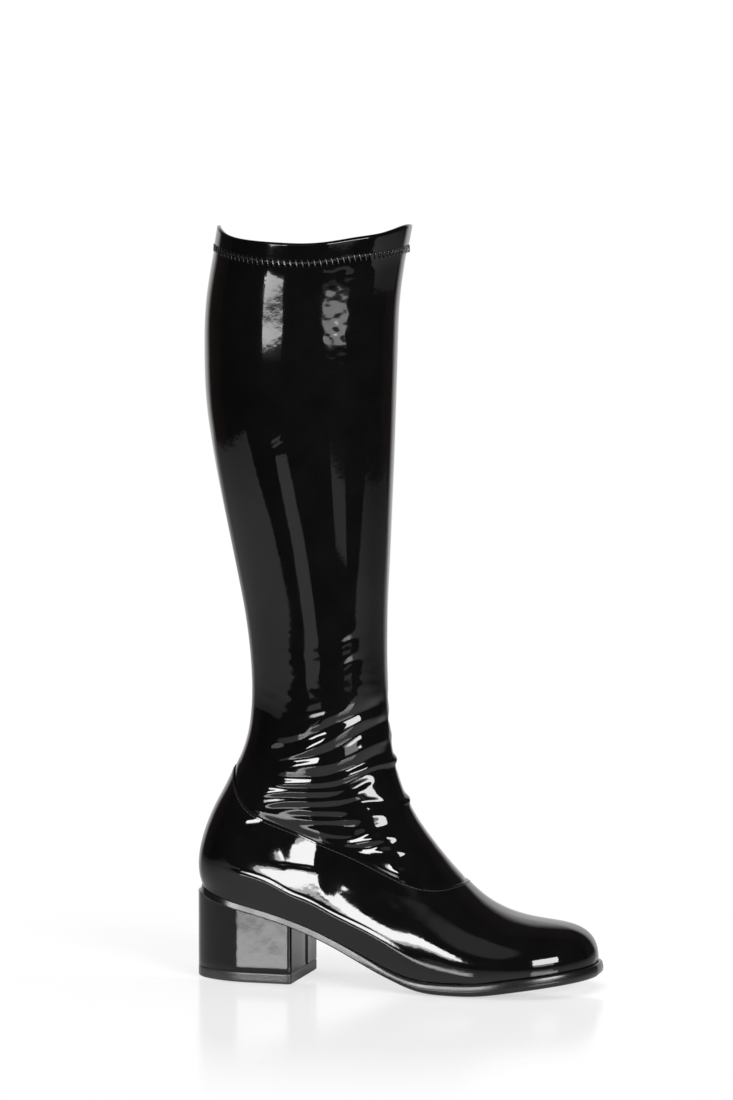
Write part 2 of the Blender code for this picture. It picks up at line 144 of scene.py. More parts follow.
# seam between foot part and leg, back to front
SEAM = [("x", "z"),
        (23.0, 125.5), (28.0, 116.0), (34.5, 106.0), (44.0, 99.4), (58.0, 93.8), (80.0, 85.6), (104.0, 76.6), (126.0, 66.8),
        (141.0, 61.0), (153.0, 59.4), (162.8, 60.8)]
# the hem's two edges: heights of their high points at back and front, and the dip between them
EDGE = [("line", "back", "front", "dip"),
        ("hem", 431.0, 430.4, 9.2),
        ("collar", 443.6, 443.8, 11.0)]
# course of that dip, as a share of it, in degrees round the leg from the high point at the back
DIP = [("round", "hem", "collar"),
       (0, 0.0, 0.0), (8, 0.06, 0.10), (24, 0.28, 0.44), (40, 0.55, 0.71), (56, 0.80, 0.865), (72, 0.95, 0.96), (86, 1.0, 1.0),
       (104, 0.86, 0.87), (120, 0.62, 0.665), (136, 0.46, 0.46), (152, 0.24, 0.14), (162, 0.10, 0.02), (180, 0.0, 0.0)]
COLLAR_TWIST = 15.0    # the stretch leg sits turned: its high point at the back lies this far round towards the outer side
INNER_DIP = 1.06       # the inner side dips a little deeper

# ------------------------------------------------------------------ form
under_line, sole_thick, sole_lip = table(SOLE, "x", "under", "thick", "lip")
(s_mid, s_low_out, s_low_in, s_wide_out, s_wide_in, s_level, s_crown) = table(
    SECTION, "at", "mid", "low_out", "low_in", "wide_out", "wide_in", "level", "crown")
r_depth, r_full = table(ROUND, "z", "depth", "full")
BACK_LINE, BACK_S = path(BACK)
FRONT_LINE, FRONT_S = path(FRONT)
SEAM_LINE, SEAM_S = path(SEAM)
TOE_I = int(FRONT_LINE[:, 0].argmax())
TOE_X = float(FRONT_LINE[TOE_I, 0])


def sole_under(x):
    """Flat on the floor under the ball, easing into the rises of toe and shank."""
    u = np.maximum(under_line(x), 0.0)
    return u * u / (u + 0.8)


def feather(x):
    return sole_under(x) + sole_thick(x)


def back_x(z):
    return np.interp(z, BACK_LINE[:, 1], BACK_LINE[:, 0])


def rays(line):
    """A side-view line in polar form about the pivot: degrees from straight down to straight back, and distance."""
    d = line - (PIVOT_X, PIVOT_Z)
    turn = np.degrees(np.arctan2(-d[:, 0], -d[:, 1]))
    o = np.argsort(turn)
    return turn[o], np.hypot(*d.T)[o]


SOLE_X = np.linspace(BACK_LINE[0, 0], TOE_X, 1500)
NEAR = rays(FRONT_LINE[TOE_I:])
FAR = rays(np.concatenate([BACK_LINE, np.stack([SOLE_X, feather(SOLE_X)], 1)]))
RIDGE = FRONT_LINE[TOE_I:][::-1]
VAMP = RIDGE[RIDGE[:, 1] < 90]
SHIN = RIDGE[RIDGE[:, 1] > 150][::-1]


def section(x, z):
    """A side-view point's cross-section, and its share of the way from the sole or back to the front outline."""
    ahead, above = x - PIVOT_X, z - PIVOT_Z
    foot = ahead >= 0
    leg = (above >= 0) & ~foot
    turn = np.degrees(np.arctan2(-ahead, -above))
    near, far = np.interp(turn, *NEAR), np.interp(turn, *FAR)
    share = (far - np.hypot(ahead, above)) / (far - near)
    at = turn / 90 * FAN
    low, top = feather(np.minimum(x, TOE_X)), np.interp(x, VAMP[:, 0], VAMP[:, 1])
    share = np.where(foot, (z - low) / np.maximum(top - low, 1e-6), share)
    at = np.where(foot, np.degrees(ahead / np.minimum(above, -60)) / 90 * FAN, at)
    back, front = back_x(z), np.interp(z, SHIN[:, 1], SHIN[:, 0])
    share = np.where(leg, (x - back) / (front - back), share)
    ease = np.clip(above / 80, 0, 1)
    step = np.degrees(1 / np.maximum(-ahead, 40)) / 90 * FAN
    step = step + (LEG_STEP - step) * ease * ease * (3 - 2 * ease)
    return np.where(leg, FAN + above * step, at), np.clip(share, 0, 1)


def half_width(x, z, outer):
    """Half the boot's width at a side-view point, to its outer or inner side."""
    at, share = section(x, z)
    low, wide = (s_low_out(at), s_wide_out(at)) if outer else (s_low_in(at), s_wide_in(at))
    level, crown = s_level(at), s_crown(at)
    w = wide + (low - wide) * np.clip(1 - share / level, 0, 1) ** 2.6
    w = w * np.maximum(1 - np.clip((share - level) / (1 - level), 0, 1) ** crown, 0) ** 0.5
    w = w * np.maximum(1 - (1 - np.clip((x - back_x(z)) / r_depth(z), 0, 1)) ** r_full(z), 0) ** 0.5
    toe = np.clip((x - TOE_START) / (TOE_X - TOE_START), 0, 1)
    return w * np.maximum(1 - toe ** 2.5, 0) ** 0.48


def on(line, run, s):
    return np.stack([np.interp(s, run, line[:, 0]), np.interp(s, run, line[:, 1])], -1)


def back_s(z):
    return float(np.interp(z, BACK_LINE[:, 1], BACK_S))


def front_s(z):
    leg = FRONT_LINE[:, 1] > 200
    return float(np.interp(z, FRONT_LINE[leg, 1], FRONT_S[leg]))


SEAM_BACK = back_s(SEAM[1][1])
SEAM_FRONT = float(FRONT_S[np.argmin(np.hypot(*(FRONT_LINE - SEAM[-1]).T))])
EDGES = {row[0]: dict(zip(EDGE[0][1:], row[1:])) for row in EDGE[1:]}
DIPS = dict(zip(DIP[0][1:], table(DIP, *DIP[0])))


def seam_line(t, lift):
    p = on(SEAM_LINE, SEAM_S, t * SEAM_S[-1])
    p = p + (1 - t)[:, None] * (on(BACK_LINE, BACK_S, SEAM_BACK) - SEAM_LINE[0])
    p = p + t[:, None] * (on(FRONT_LINE, FRONT_S, SEAM_FRONT) - SEAM_LINE[-1])
    out = np.gradient(p, axis=0)
    out = out / np.linalg.norm(out, axis=1, keepdims=True)
    return p + lift * np.stack([-out[:, 1], out[:, 0]], 1)


def edge_dip(name, side, t):
    """How far an edge of the hem lies below its high points."""
    turn = np.degrees(np.arccos(1 - 2 * t)) * (1 if side == "out" else -1)
    off = (turn - COLLAR_TWIST + 180) % 360 - 180
    return EDGES[name]["dip"] * np.where(off > 0, 1.0, INNER_DIP) * DIPS[name](np.abs(off))


def edge_line(name, side, t, lift):
    """An edge of the hem in side view."""
    e = EDGES[name]
    z = e["back"] + (e["front"] - e["back"]) * t + lift - edge_dip(name, side, t)
    back = np.array([on(BACK_LINE, BACK_S, back_s(q))[0] for q in z])
    front = np.array([on(FRONT_LINE, FRONT_S, front_s(q))[0] for q in z])
    return np.stack([back + (front - back) * t, z], -1)


def feather_line(t):
    x = BACK_LINE[0, 0] + (FRONT_LINE[0, 0] - BACK_LINE[0, 0]) * t
    return np.stack([x, feather(x)], -1)


def fill(t, v, bottom, top, left, right):
    """Fills a four-sided side-view region: t from back to front, v from its lower to its upper line."""
    T, V = t[None, :, None], v[:, None, None]
    b, u, l, r = bottom[None], top[None], left[:, None], right[:, None]
    corners = (1 - V) * ((1 - T) * b[:, :1] + T * b[:, -1:]) + V * ((1 - T) * u[:, :1] + T * u[:, -1:])
    return (1 - V) * b + V * u + (1 - T) * l + T * r - corners


def region(piece, side, t, v):
    """Side-view grid of the upper, the shaft or the hem."""
    g = GAP / 2
    if piece == "upper":
        ends = (0.0, SEAM_BACK - g), (0.0, SEAM_FRONT - g)
        low, top = feather_line(t), seam_line(t, -g)
    elif piece == "shaft":
        low, top = seam_line(t, g), edge_line("hem", side, t, -g)
        ends = (SEAM_BACK + g, back_s(top[0, 1])), (SEAM_FRONT + g, front_s(top[-1, 1]))
    else:
        low, top = edge_line("hem", side, t, g), edge_line("collar", side, t, 0.0)
        ends = (back_s(low[0, 1]), back_s(top[0, 1])), (front_s(low[-1, 1]), front_s(top[-1, 1]))
    (b0, b1), (f0, f1) = ends
    left, right = on(BACK_LINE, BACK_S, b0 + (b1 - b0) * v), on(FRONT_LINE, FRONT_S, f0 + (f1 - f0) * v)
    low[0], low[-1], top[0], top[-1] = left[0], right[0], left[-1], right[-1]
    return fill(t, v, low, top, left, right)


def loops(piece, n, v):
    """Closed loops round the boot: from the back forward along the outer side, and back along the inner side."""
    half = n // 2
    t = (1 - np.cos(np.pi * np.arange(half + 1) / half)) / 2
    out = np.zeros((len(v), n, 3))
    for side, cols in (("out", np.arange(half + 1)), ("in", (n - np.arange(half + 1)) % n)):
        p = region(piece, side, t, v)
        w = half_width(p[..., 0], p[..., 1], side == "out")
        w[:, 0] = w[:, -1] = 0.0
        mid = s_mid(section(p[..., 0], p[..., 1])[0])
        out[:, cols] = np.stack([p[..., 0], mid + (-w if side == "out" else w), p[..., 1]], -1)
    return out


def outward(g):
    """Unit normals of a stack of closed loops."""
    du = np.roll(g, -1, 1) - np.roll(g, 1, 1)
    dv = np.empty_like(g)
    dv[1:-1], dv[0], dv[-1] = g[2:] - g[:-2], g[1] - g[0], g[-1] - g[-2]
    n = np.cross(du, dv)
    return n / np.maximum(np.linalg.norm(n, axis=-1, keepdims=True), 1e-9)


# ------------------------------------------------------------------ tables of the looks
# folds of the stretch leg over the ankle, outer side. "turn" runs round the leg in degrees: 0 at the back, 180 at the front.
# A ridge has a positive rise, a trough a negative one; "soft" is the half width of its round.
FOLDS = [("rise", "soft", "line: turn and z"),
         (-0.35, 2.6, ((99, 192.9), (111, 195.0), (124, 198.1), (136, 202.0), (146, 206.0))),
         (-0.35, 2.6, ((104, 179.5), (113, 181.3), (126, 184.5), (138, 189.8), (150, 193.5))),
         (-0.45, 2.2, ((90, 158.0), (100, 160.6), (112, 163.0), (124, 165.0))),
         (0.35, 2.2, ((92, 154.8), (102, 157.2), (112, 159.0), (126, 162.0))),
         (-1.30, 2.6, ((60, 138.4), (69, 140.0), (79, 141.4), (93, 144.8), (110, 150.7), (124, 154.9), (139, 158.8), (168, 165.8))),
         (1.00, 2.6, ((42, 125.4), (67, 133.2), (84, 136.8), (100, 141.5), (114, 146.0), (123, 150.0), (138, 155.6), (156, 160.0))),
         (-0.80, 1.9, ((34, 121.5), (52, 126.7), (70, 130.6), (86, 133.4), (101, 136.1), (114, 139.6), (124, 142.8), (137, 147.8),
                       (154, 151.8), (178, 154.6))),
         (0.90, 2.3, ((62, 126.3), (82, 129.3), (106, 130.9), (128, 135.9), (146, 140.5), (172, 144.5))),
         (-0.95, 1.7, ((44, 118.0), (70, 122.1), (87, 122.6), (102, 124.0), (116, 126.8), (136, 130.8), (150, 134.4), (166, 136.0))),
         (0.85, 1.8, ((62, 117.8), (84, 119.1), (100, 120.2), (115, 122.6), (132, 126.3), (146, 128.9), (172, 130.6), (192, 130.4))),
         (-0.65, 1.5, ((54, 115.4), (82, 117.0), (100, 117.4), (114, 119.5), (140, 125.0), (159, 126.4), (171, 124.7))),
         (0.65, 1.7, ((42, 110.8), (66, 113.3), (78, 113.9), (94, 114.5), (112, 116.2))),
         (-0.60, 1.5, ((53, 108.6), (66, 110.7), (78, 111.1), (92, 111.4), (110, 113.2), (131, 119.2), (147, 122.4))),
         (0.65, 1.7, ((54, 104.9), (74, 108.0), (89, 108.4), (110, 110.4), (123, 112.9), (138, 116.4))),
         (-0.70, 1.6, ((54, 102.6), (74, 105.4), (90, 105.8), (110, 107.2), (132, 108.5), (152, 108.4))),
         (0.75, 1.8, ((76, 102.6), (88, 103.2), (100, 102.8), (112, 103.4))),
         (0.85, 1.8, ((146, 105.0), (160, 106.4), (178, 107.0), (196, 107.4))),
         (-0.60, 1.5, ((66, 100.6), (84, 100.5), (96, 100.2), (108, 100.4))),
         (0.60, 1.6, ((72, 98.0), (88, 97.6), (106, 98.0), (128, 99.9), (147, 101.0))),
         (-0.55, 1.5, ((74, 95.0), (92, 95.0), (102, 95.2), (112, 95.6))),
         (0.45, 1.5, ((78, 92.4), (88, 92.6), (97, 92.8), (106, 93.0))),
         (0.60, 1.5, ((80, 89.6), (91, 90.0), (102, 89.2), (112, 89.6))),
         (-0.55, 1.6, ((84, 87.4), (100, 87.0), (110, 88.6), (127, 93.4), (147, 95.2))),
         (0.65, 1.7, ((90, 84.6), (105, 85.4), (126, 87.6), (149, 89.4))),
         (-0.50, 1.6, ((96, 82.4), (111, 82.6), (124, 84.0), (142, 84.8))),
         (0.55, 1.9, ((112, 78.6), (124, 80.0), (137, 80.8), (156, 80.6))),
         (0.40, 2.2, ((112, 66.6), (122, 67.8), (134, 69.2), (150, 69.8)))]
# one shallow slanting crease high on the leg
LEG_CREASE = [("rise", "soft", "line: turn and z"),
              (-0.22, 2.0, ((80, 310.5), (87, 314.0), (96, 319.0), (103, 327.0), (107, 330.5))),
              (0.16, 2.0, ((80, 315.5), (88, 319.0), (96, 324.0), (102, 331.0)))]
# the pressed ridge round the foot above the sole: its height over the feather line, how far it stands out, and how fully the side falls back above it
RIDGE = [("x", "over", "rise", "full"),
         (0, 17.5, 0.2, 0.0), (25, 19.0, 0.9, 0.25), (36, 20.0, 1.7, 0.7), (46, 20.2, 2.1, 0.92), (54, 19.6, 2.3, 1.0), (66, 17.2, 2.4, 1.0),
         (78, 17.2, 2.4, 1.0), (90, 16.4, 2.3, 1.0), (103, 17.0, 2.1, 1.0), (115, 17.6, 1.9, 1.0), (128, 16.2, 1.52, 0.82), (139, 13.6, 0.95, 0.45),
         (152, 10.4, 0.45, 0.20), (166, 6.5, 0.35, 0.2), (185, 3.0, 0.0, 0.0), (242, 2.0, 0.0, 0.0)]
# how far the side has fallen back at a height over that ridge: behind the ankle, under it and in front of it
FALL = [("height", "rear", "mid", "front"),
        (0, 0.0, 0.0, 0.0), (5, 0.85, 0.78, 0.75), (8, 1.34, 1.25, 1.22), (10, 1.60, 1.57, 1.56), (14, 1.98, 2.20, 2.28), (17, 2.24, 2.66, 2.80),
        (20, 2.50, 3.09, 3.24), (24, 2.85, 3.66, 3.84), (30, 3.4, 4.43, 4.52), (35, 3.8, 4.94, 4.95), (40, 4.1, 5.28, 5.2), (60, 4.5, 5.6, 5.4)]
# soft swellings of the foot part
SWELL = [("x", "z", "long", "tall", "rise"),
         (83.5, 86.0, 13.0, 24.0, 1.9),
         (40, 95.0, 11.0, 5.0, 0.6)]
# a shallow crease line across the side under the ankle
SIDE_CREASE = [("x", "z"), (50, 73.8), (60, 73.3), (75, 72.3), (88, 70.8)]
CREASE_RISE, CREASE_UNDER, CREASE_ABOVE = 0.45, 2.4, 9.0    # steep below its line, easy above it
# where the leg's cloth bags out over the ankle or lies in, both sides
SLOUCH = [("turn", "z", "round", "below", "above", "rise"),
          (122, 132, 28, 26, 26, 2.4),
          (121, 106, 26, 18, 20, 1.4),
          (76, 196, 28, 42, 70, 1.0),
          (80, 139, 80, 22, 38, -1.2),
          (100, 116, 19, 28, 22, 0.7)]
# edge of the outsole, from the feather over the rim down to the tread: how far in from the rim, share of the thickness; "thin_in" is for the thin waist
SOLE_EDGE = [("in", "up", "thin_in"), (3.2, 0.99, 2.8), (1.5, 1.0, 1.25), (0.95, 0.975, 0.84), (0.62, 0.92, 0.72), (0.40, 0.83, 0.64),
             (0.22, 0.68, 0.51), (0.06, 0.55, 0.41), (0.0, 0.45, 0.33), (0.06, 0.34, 0.25), (0.35, 0.20, 0.14), (0.9, 0.09, 0.06), (1.8, 0.02, 0.2),
             (2.8, 0.0, 0.7), (4.2, 0.0, 2.0)]
STRIP_UP, STRIP_OUT = 1.5, 0.75    # the thin strip stands up round the foot's lower edge

STITCH_PITCH = 3.4     # one zigzag of the hem's stitch
STITCH_REACH = 2.4     # its reach above and below the hem line
THREAD = 0.46          # half the thread's width
# section of the pressed thread: across and up, in half widths
THREAD_FORM = [("across", "up"), (1.0, 0.0), (0.76, 0.34), (0.42, 0.44), (-0.42, 0.44), (-0.76, 0.34), (-1.0, 0.0), (-0.6, -0.3), (0.6, -0.3)]
SEAM_PITCH, SEAM_LONG, SEAM_IN, SEAM_THREAD_HALF = 2.7, 2.1, 1.2, 0.19    # stitches along the foot part's cut edge
LAP_RISE = 0.22        # the foot part's cut edge lies over the leg
LEG_TUCK = 4.0         # the leg runs on below that edge


# ------------------------------------------------------------------ surfaces
def smoothed(g, passes):
    """Evens out a stack of closed loops, its first and last loop kept in place along the stack."""
    for _ in range(passes):
        g = 0.5 * g + 0.25 * (np.roll(g, 1, 1) + np.roll(g, -1, 1))
        m = g.copy()
        m[1:-1] = 0.5 * g[1:-1] + 0.25 * (g[:-2] + g[2:])
        g = m
    return g


def ripple(p, wave, seed, count=28):
    """Soft random waves of about one wavelength, of unit size."""
    rng = np.random.default_rng(seed)
    d = rng.normal(size=(count, 3))
    d /= np.linalg.norm(d, axis=1, keepdims=True)
    k = d * (2 * np.pi / (wave * rng.uniform(0.75, 1.35, (count, 1))))
    ph = rng.uniform(0, 2 * np.pi, count)
    out = np.zeros(p.shape[:-1])
    for a, b in zip(k, ph):
        out += np.sin(p @ a + b)
    return out / math.sqrt(count / 2)


def step(a, b, x):
    t = np.clip((x - a) / (b - a), 0, 1)
    return t * t * (3 - 2 * t)


def crease(turn, z, line, soft, reach=9.0, per_deg=0.64):
    """How strongly a point lies on a crease line, 1 on the line and fading to its ends."""
    p = np.array(line, float) * (per_deg, 1.0)
    fine = np.concatenate([[0], np.cumsum(np.hypot(*np.diff(p, axis=0).T))])
    s = np.linspace(0, fine[-1], 60)
    q = np.stack([cubic(fine, p[:, 0])(s), cubic(fine, p[:, 1])(s)], 1)
    x = turn * per_deg
    best, where = np.full(x.shape, 1e9), np.zeros(x.shape)
    for i in range(len(q) - 1):
        d = q[i + 1] - q[i]
        t = np.clip(((x - q[i, 0]) * d[0] + (z - q[i, 1]) * d[1]) / (d @ d), 0, 1)
        e = np.hypot(x - q[i, 0] - t * d[0], z - q[i, 1] - t * d[1])
        near = e < best
        best, where = np.where(near, e, best), np.where(near, s[i] + t * (s[i + 1] - s[i]), where)
    fade = step(0, reach, where) * step(0, reach, fine[-1] - where)
    return np.exp(-(best / soft) ** 2) * (0.15 + 0.85 * fade)


def fold_field(turn, z):
    """Height of the ankle's folds. The inner side has the same run of folds, shifted along the leg."""
    inner = turn > 180
    side = np.where(inner, 360 - turn, turn)
    shift = np.where(inner, 3.4 * np.sin(np.radians(2 * side)) + 2.2 * np.sin(np.radians(side)) ** 2, 0.0)
    out = np.zeros(turn.shape)
    for rise, soft, line in FOLDS[1:]:
        out += rise * crease(side, z + shift, line, soft * 1.25)
    out *= 0.55 - 0.20 * step(106, 90, side) * step(136, 126, z) * (1 - 0.5 * step(122, 116, z)) + 0.35 * step(110, 140, side) + 1.5 * step(155, 182, side)
    for rise, soft, line in LEG_CREASE[1:]:
        out += np.where(inner, 0.4, 1.0) * rise * crease(side, z, line, soft, 7.0, 0.95)
    return out


def piece(name, verts, faces, material, body="root"):
    mesh = bpy.data.meshes.new(name)
    v = (np.asarray(verts, float) - (ORIGIN_X, ORIGIN_Y, 0)) / 1000
    mesh.from_pydata(v.tolist(), [], faces)
    mesh.validate()
    mesh.shade_smooth()
    mesh.materials.append(material)
    ob = bpy.data.objects.new(name, mesh)
    bpy.context.scene.collection.objects.link(ob)
    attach(ob, body)
    return ob


def tube_faces(rows, n, close=False):
    faces = []
    for i in range(rows if close else rows - 1):
        a, b = i * n, ((i + 1) % rows) * n
        faces += [(a + j, a + (j + 1) % n, b + (j + 1) % n, b + j) for j in range(n)]
    return faces


def cap_faces(base, n, up):
    """Strips across a closed loop, from its outer to its inner side."""
    half, out = n // 2, []
    for j in range(half):
        f = [base + j, base + j + 1, base + (n - j - 1) % n, base + (n - j) % n]
        f = [i for k, i in enumerate(f) if i != f[k - 1]]
        out.append(tuple(f if up else f[::-1]))
    return out


def plan_offset(ring, by):
    d = np.roll(ring, -1, 0)[:, :2] - np.roll(ring, 1, 0)[:, :2]
    d = d / np.linalg.norm(d, axis=1, keepdims=True)
    return ring[:, :2] + np.stack([d[:, 1], -d[:, 0]], 1) * np.reshape(by, (-1, 1))


# ------------------------------------------------------------------ materials
def nodes_of(name):
    m = bpy.data.materials.new(name)
    m.use_nodes = True
    t = m.node_tree
    return m, t, t.nodes["Principled BSDF"]


def add(t, kind, **values):
    n = t.nodes.new(kind)
    for k, v in values.items():
        if hasattr(n, k) and not k[0].isupper():
            setattr(n, k, v)
        else:
            n.inputs[k.replace("_", " ")].default_value = v
    return n


def noise(t, coord, scale, detail=2.0, rough=0.5, stretch=None):
    n = add(t, "ShaderNodeTexNoise", Scale=scale, Detail=detail, Roughness=rough)
    src = coord
    if stretch:
        mp = add(t, "ShaderNodeMapping")
        mp.inputs["Scale"].default_value = stretch
        t.links.new(coord, mp.inputs["Vector"])
        src = mp.outputs["Vector"]
    t.links.new(src, n.inputs["Vector"])
    return n


def bump_chain(t, bsdf, layers):
    """Stacks bump layers: (height socket, depth in mm, strength)."""
    last = None
    for height, depth, strength in layers:
        b = add(t, "ShaderNodeBump", Strength=strength, Distance=depth / 1000)
        t.links.new(height, b.inputs["Height"])
        if last is not None:
            t.links.new(last.outputs["Normal"], b.inputs["Normal"])
        last = b
    t.links.new(last.outputs["Normal"], bsdf.inputs["Normal"])


def patent(name, base, rough, peel, wave):
    """Glossy coated leather cloth: near-black base under a clear film with a faint orange peel."""
    m, t, b = nodes_of(name)
    co = add(t, "ShaderNodeTexCoord").outputs["Object"]
    tone = noise(t, co, 60.0, 3.0)
    ramp = add(t, "ShaderNodeValToRGB")
    ramp.color_ramp.elements[0].position, ramp.color_ramp.elements[1].position = 0.3, 0.75
    ramp.color_ramp.elements[0].color = (base * 0.8, base * 0.8, base * 0.85, 1)
    ramp.color_ramp.elements[1].color = (base * 1.25, base * 1.2, base * 1.25, 1)
    t.links.new(tone.outputs["Fac"], ramp.inputs["Fac"])
    t.links.new(ramp.outputs["Color"], b.inputs["Base Color"])
    haze = noise(t, co, 35.0, 4.0, 0.6)
    mr = add(t, "ShaderNodeMapRange")
    mr.inputs["From Min"].default_value, mr.inputs["From Max"].default_value = 0.3, 0.75
    mr.inputs["To Min"].default_value, mr.inputs["To Max"].default_value = rough * 0.75, rough * 1.35
    t.links.new(haze.outputs["Fac"], mr.inputs["Value"])
    t.links.new(mr.outputs["Result"], b.inputs["Roughness"])
    b.inputs["IOR"].default_value = 1.47
    bump_chain(t, b, [(noise(t, co, 150.0, 1.0).outputs["Fac"], wave, 1.0),
                      (noise(t, co, 520.0, 1.5).outputs["Fac"], peel, 1.0)])
    return m


def matte(name, colour, rough, grain, depth, spread=0.25):
    m, t, b = nodes_of(name)
    co = add(t, "ShaderNodeTexCoord").outputs["Object"]
    tone = noise(t, co, grain * 0.12, 4.0, 0.6)
    ramp = add(t, "ShaderNodeValToRGB")
    ramp.color_ramp.elements[0].position, ramp.color_ramp.elements[1].position = 0.3, 0.72
    ramp.color_ramp.elements[0].color = (*[c * (1 - spread) for c in colour], 1)
    ramp.color_ramp.elements[1].color = (*[c * (1 + spread) for c in colour], 1)
    t.links.new(tone.outputs["Fac"], ramp.inputs["Fac"])
    t.links.new(ramp.outputs["Color"], b.inputs["Base Color"])
    b.inputs["Roughness"].default_value = rough
    bump_chain(t, b, [(noise(t, co, grain, 3.0, 0.65).outputs["Fac"], depth, 1.0)])
    return m


def knit(name, colour):
    """Brushed knit lining: fine wales along the leg under a soft nap."""
    m, t, b = nodes_of(name)
    co = add(t, "ShaderNodeTexCoord").outputs["Object"]
    nap = noise(t, co, 700.0, 3.0, 0.7, (1.0, 1.0, 0.35))
    ramp = add(t, "ShaderNodeValToRGB")
    ramp.color_ramp.elements[0].position, ramp.color_ramp.elements[1].position = 0.3, 0.7
    ramp.color_ramp.elements[0].color = (*[c * 0.6 for c in colour], 1)
    ramp.color_ramp.elements[1].color = (*[c * 1.35 for c in colour], 1)
    t.links.new(nap.outputs["Fac"], ramp.inputs["Fac"])
    t.links.new(ramp.outputs["Color"], b.inputs["Base Color"])
    b.inputs["Roughness"].default_value = 0.9
    b.inputs["Sheen Weight"].default_value = 0.3
    bump_chain(t, b, [(nap.outputs["Fac"], 0.25, 0.8)])
    return m


LEG_COAT = patent("leg_patent", 0.0030, 0.055, 0.010, 0.022)
FOOT_COAT = patent("foot_patent", 0.0030, 0.050, 0.012, 0.040)
HEM_COAT = patent("hem_patent", 0.0026, 0.085, 0.014, 0.030)
HEEL_COAT = patent("heel_patent", 0.0026, 0.075, 0.014, 0.040)
SOLE_COAT = patent("sole_edge", 0.0060, 0.24, 0.020, 0.030)
RUBBER = matte("lift_rubber", (0.030, 0.030, 0.031), 0.30, 900.0, 0.05)
SOCK = matte("sock_cloth", (0.03, 0.028, 0.027), 0.85, 1200.0, 0.10)
KNIT = knit("lining_knit", (0.022, 0.021, 0.022))
SEAM_THREAD = matte("seam_thread", (0.022, 0.022, 0.023), 0.45, 2500.0, 0.01)
SILK = matte("stitch_thread", (0.010, 0.010, 0.011), 0.17, 2500.0, 0.003)

# ------------------------------------------------------------------ foot part
N = 320
TURN = 360.0 * np.arange(N) / N


def along(g):
    """Running length up each column of a stack of loops."""
    return np.concatenate([np.zeros((1, g.shape[1])), np.cumsum(np.linalg.norm(np.diff(g, axis=0), axis=2), axis=0)])


foot_v = np.concatenate([np.linspace(0, 1, 118)[:-4], 1 - np.array([0.024, 0.017, 0.011, 0.006, 0.0])])
foot_grid = smoothed(loops("upper", N, foot_v), 8)
foot_normal = outward(foot_grid)
rise_over = along(foot_grid)
to_seam = rise_over[-1][None] - rise_over
ridge_over, ridge_rise, ridge_full = table(RIDGE, "x", "over", "rise", "full")
fall_rear, fall_mid, fall_front = table(FALL, "height", "rear", "mid", "front")
crease_z, = table(SIDE_CREASE, "x", "z")


def foot_form(g):
    """How far the foot's side stands out of the plain last, or back from it: the pressed ridge, the fall above it and the swellings."""
    x, z = g[..., 0], g[..., 2]
    turn = np.broadcast_to(360.0 * np.arange(g.shape[1]) / g.shape[1], x.shape)
    side = np.minimum(turn, 360 - turn)
    over = z - feather(np.minimum(x, TOE_X)) - ridge_over(x)
    far = np.clip(np.sqrt(over * over + 0.36) - 0.6, 0, 60)
    rear, front = step(72, 44, x), step(78, 92, x)
    back = fall_rear(far) * rear + fall_mid(far) * (1 - rear - front) + fall_front(far) * front
    high = np.maximum(ridge_rise(x), 0)
    out = np.where(over < 0, high * np.exp(-far / 8.0), high - back * np.maximum(ridge_full(x), 0))
    out = out - 0.043 * high * np.exp(-((over - 2.7) / 0.75) ** 2)
    up = z - crease_z(np.clip(x, 50, 88))
    out = out + CREASE_RISE * np.exp(-(up / np.where(up < 0, CREASE_UNDER, CREASE_ABOVE)) ** 2) * step(52, 62, x) * step(88, 78, x)
    out = out * step(30, 48, side) * step(165, 112, side)
    for sx, sz, long, tall, rise in SWELL[1:]:
        out = out + rise * np.exp(-((x - sx) / long) ** 2 - ((z - sz) / tall) ** 2)
    return out * np.where(turn <= 180, 1.0, 0.6) * step(0, 5, along(g))


def follow(seam, run):
    """The leg leaves the foot where the foot's edge lies, and comes back to its own line above it."""
    return seam[None] * (1 - step(0, 38, run))


def collar_lean(turn, z):
    """The outer side leans in towards the collar, most of all near the front."""
    def past(at, soft):
        return 0.5 * (np.sqrt((z - at) ** 2 + soft * soft) + z - at)

    gentle = ((0.0160 + 0.0140 * step(100, 84, turn)) * past(367, 8) - (0.0165 + 0.0245 * step(100, 84, turn)) * past(386, 8)) * step(22, 55, turn) * step(190, 150, turn)
    front = 0.040 * (past(375, 4) - past(416, 4)) * np.exp(-((turn - 127) / 21) ** 2)
    return -gentle - front - 0.021 * (past(392, 4) - past(414, 4)) * np.exp(-((turn - 127) / 20) ** 2)


lift = foot_form(foot_grid)
seam_shift = lift[-1].copy()
lift = lift + LAP_RISE * step(16, 0, to_seam)
lift = lift + (0.004 * ripple(foot_grid, 8.0, 5) + 0.03 * ripple(foot_grid, 34.0, 6)) * step(0, 8, rise_over)
foot_grid = foot_grid + foot_normal * lift[..., None]
foot_grid[0] = loops("upper", N, np.array([0.0, 0.5, 1.0]))[0]
up = foot_grid[-1] - foot_grid[-4]
up /= np.linalg.norm(up, axis=1, keepdims=True)
nrm = foot_normal[-1]
rolled = [foot_grid[-1] + up * a - nrm * b for a, b in ((0.25, 0.06), (0.45, 0.22), (0.52, 0.42), (0.45, 0.64), (0.2, 0.82), (-0.8, 1.1))]
under = foot_grid[0] - foot_normal[0] * 1.6
under[:, 2] = foot_grid[0][:, 2]
foot_rows = np.concatenate([[under], foot_grid, np.array(rolled)])
foot = piece("foot", foot_rows.reshape(-1, 3), tube_faces(len(foot_rows), N), FOOT_COAT)
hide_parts("upper")

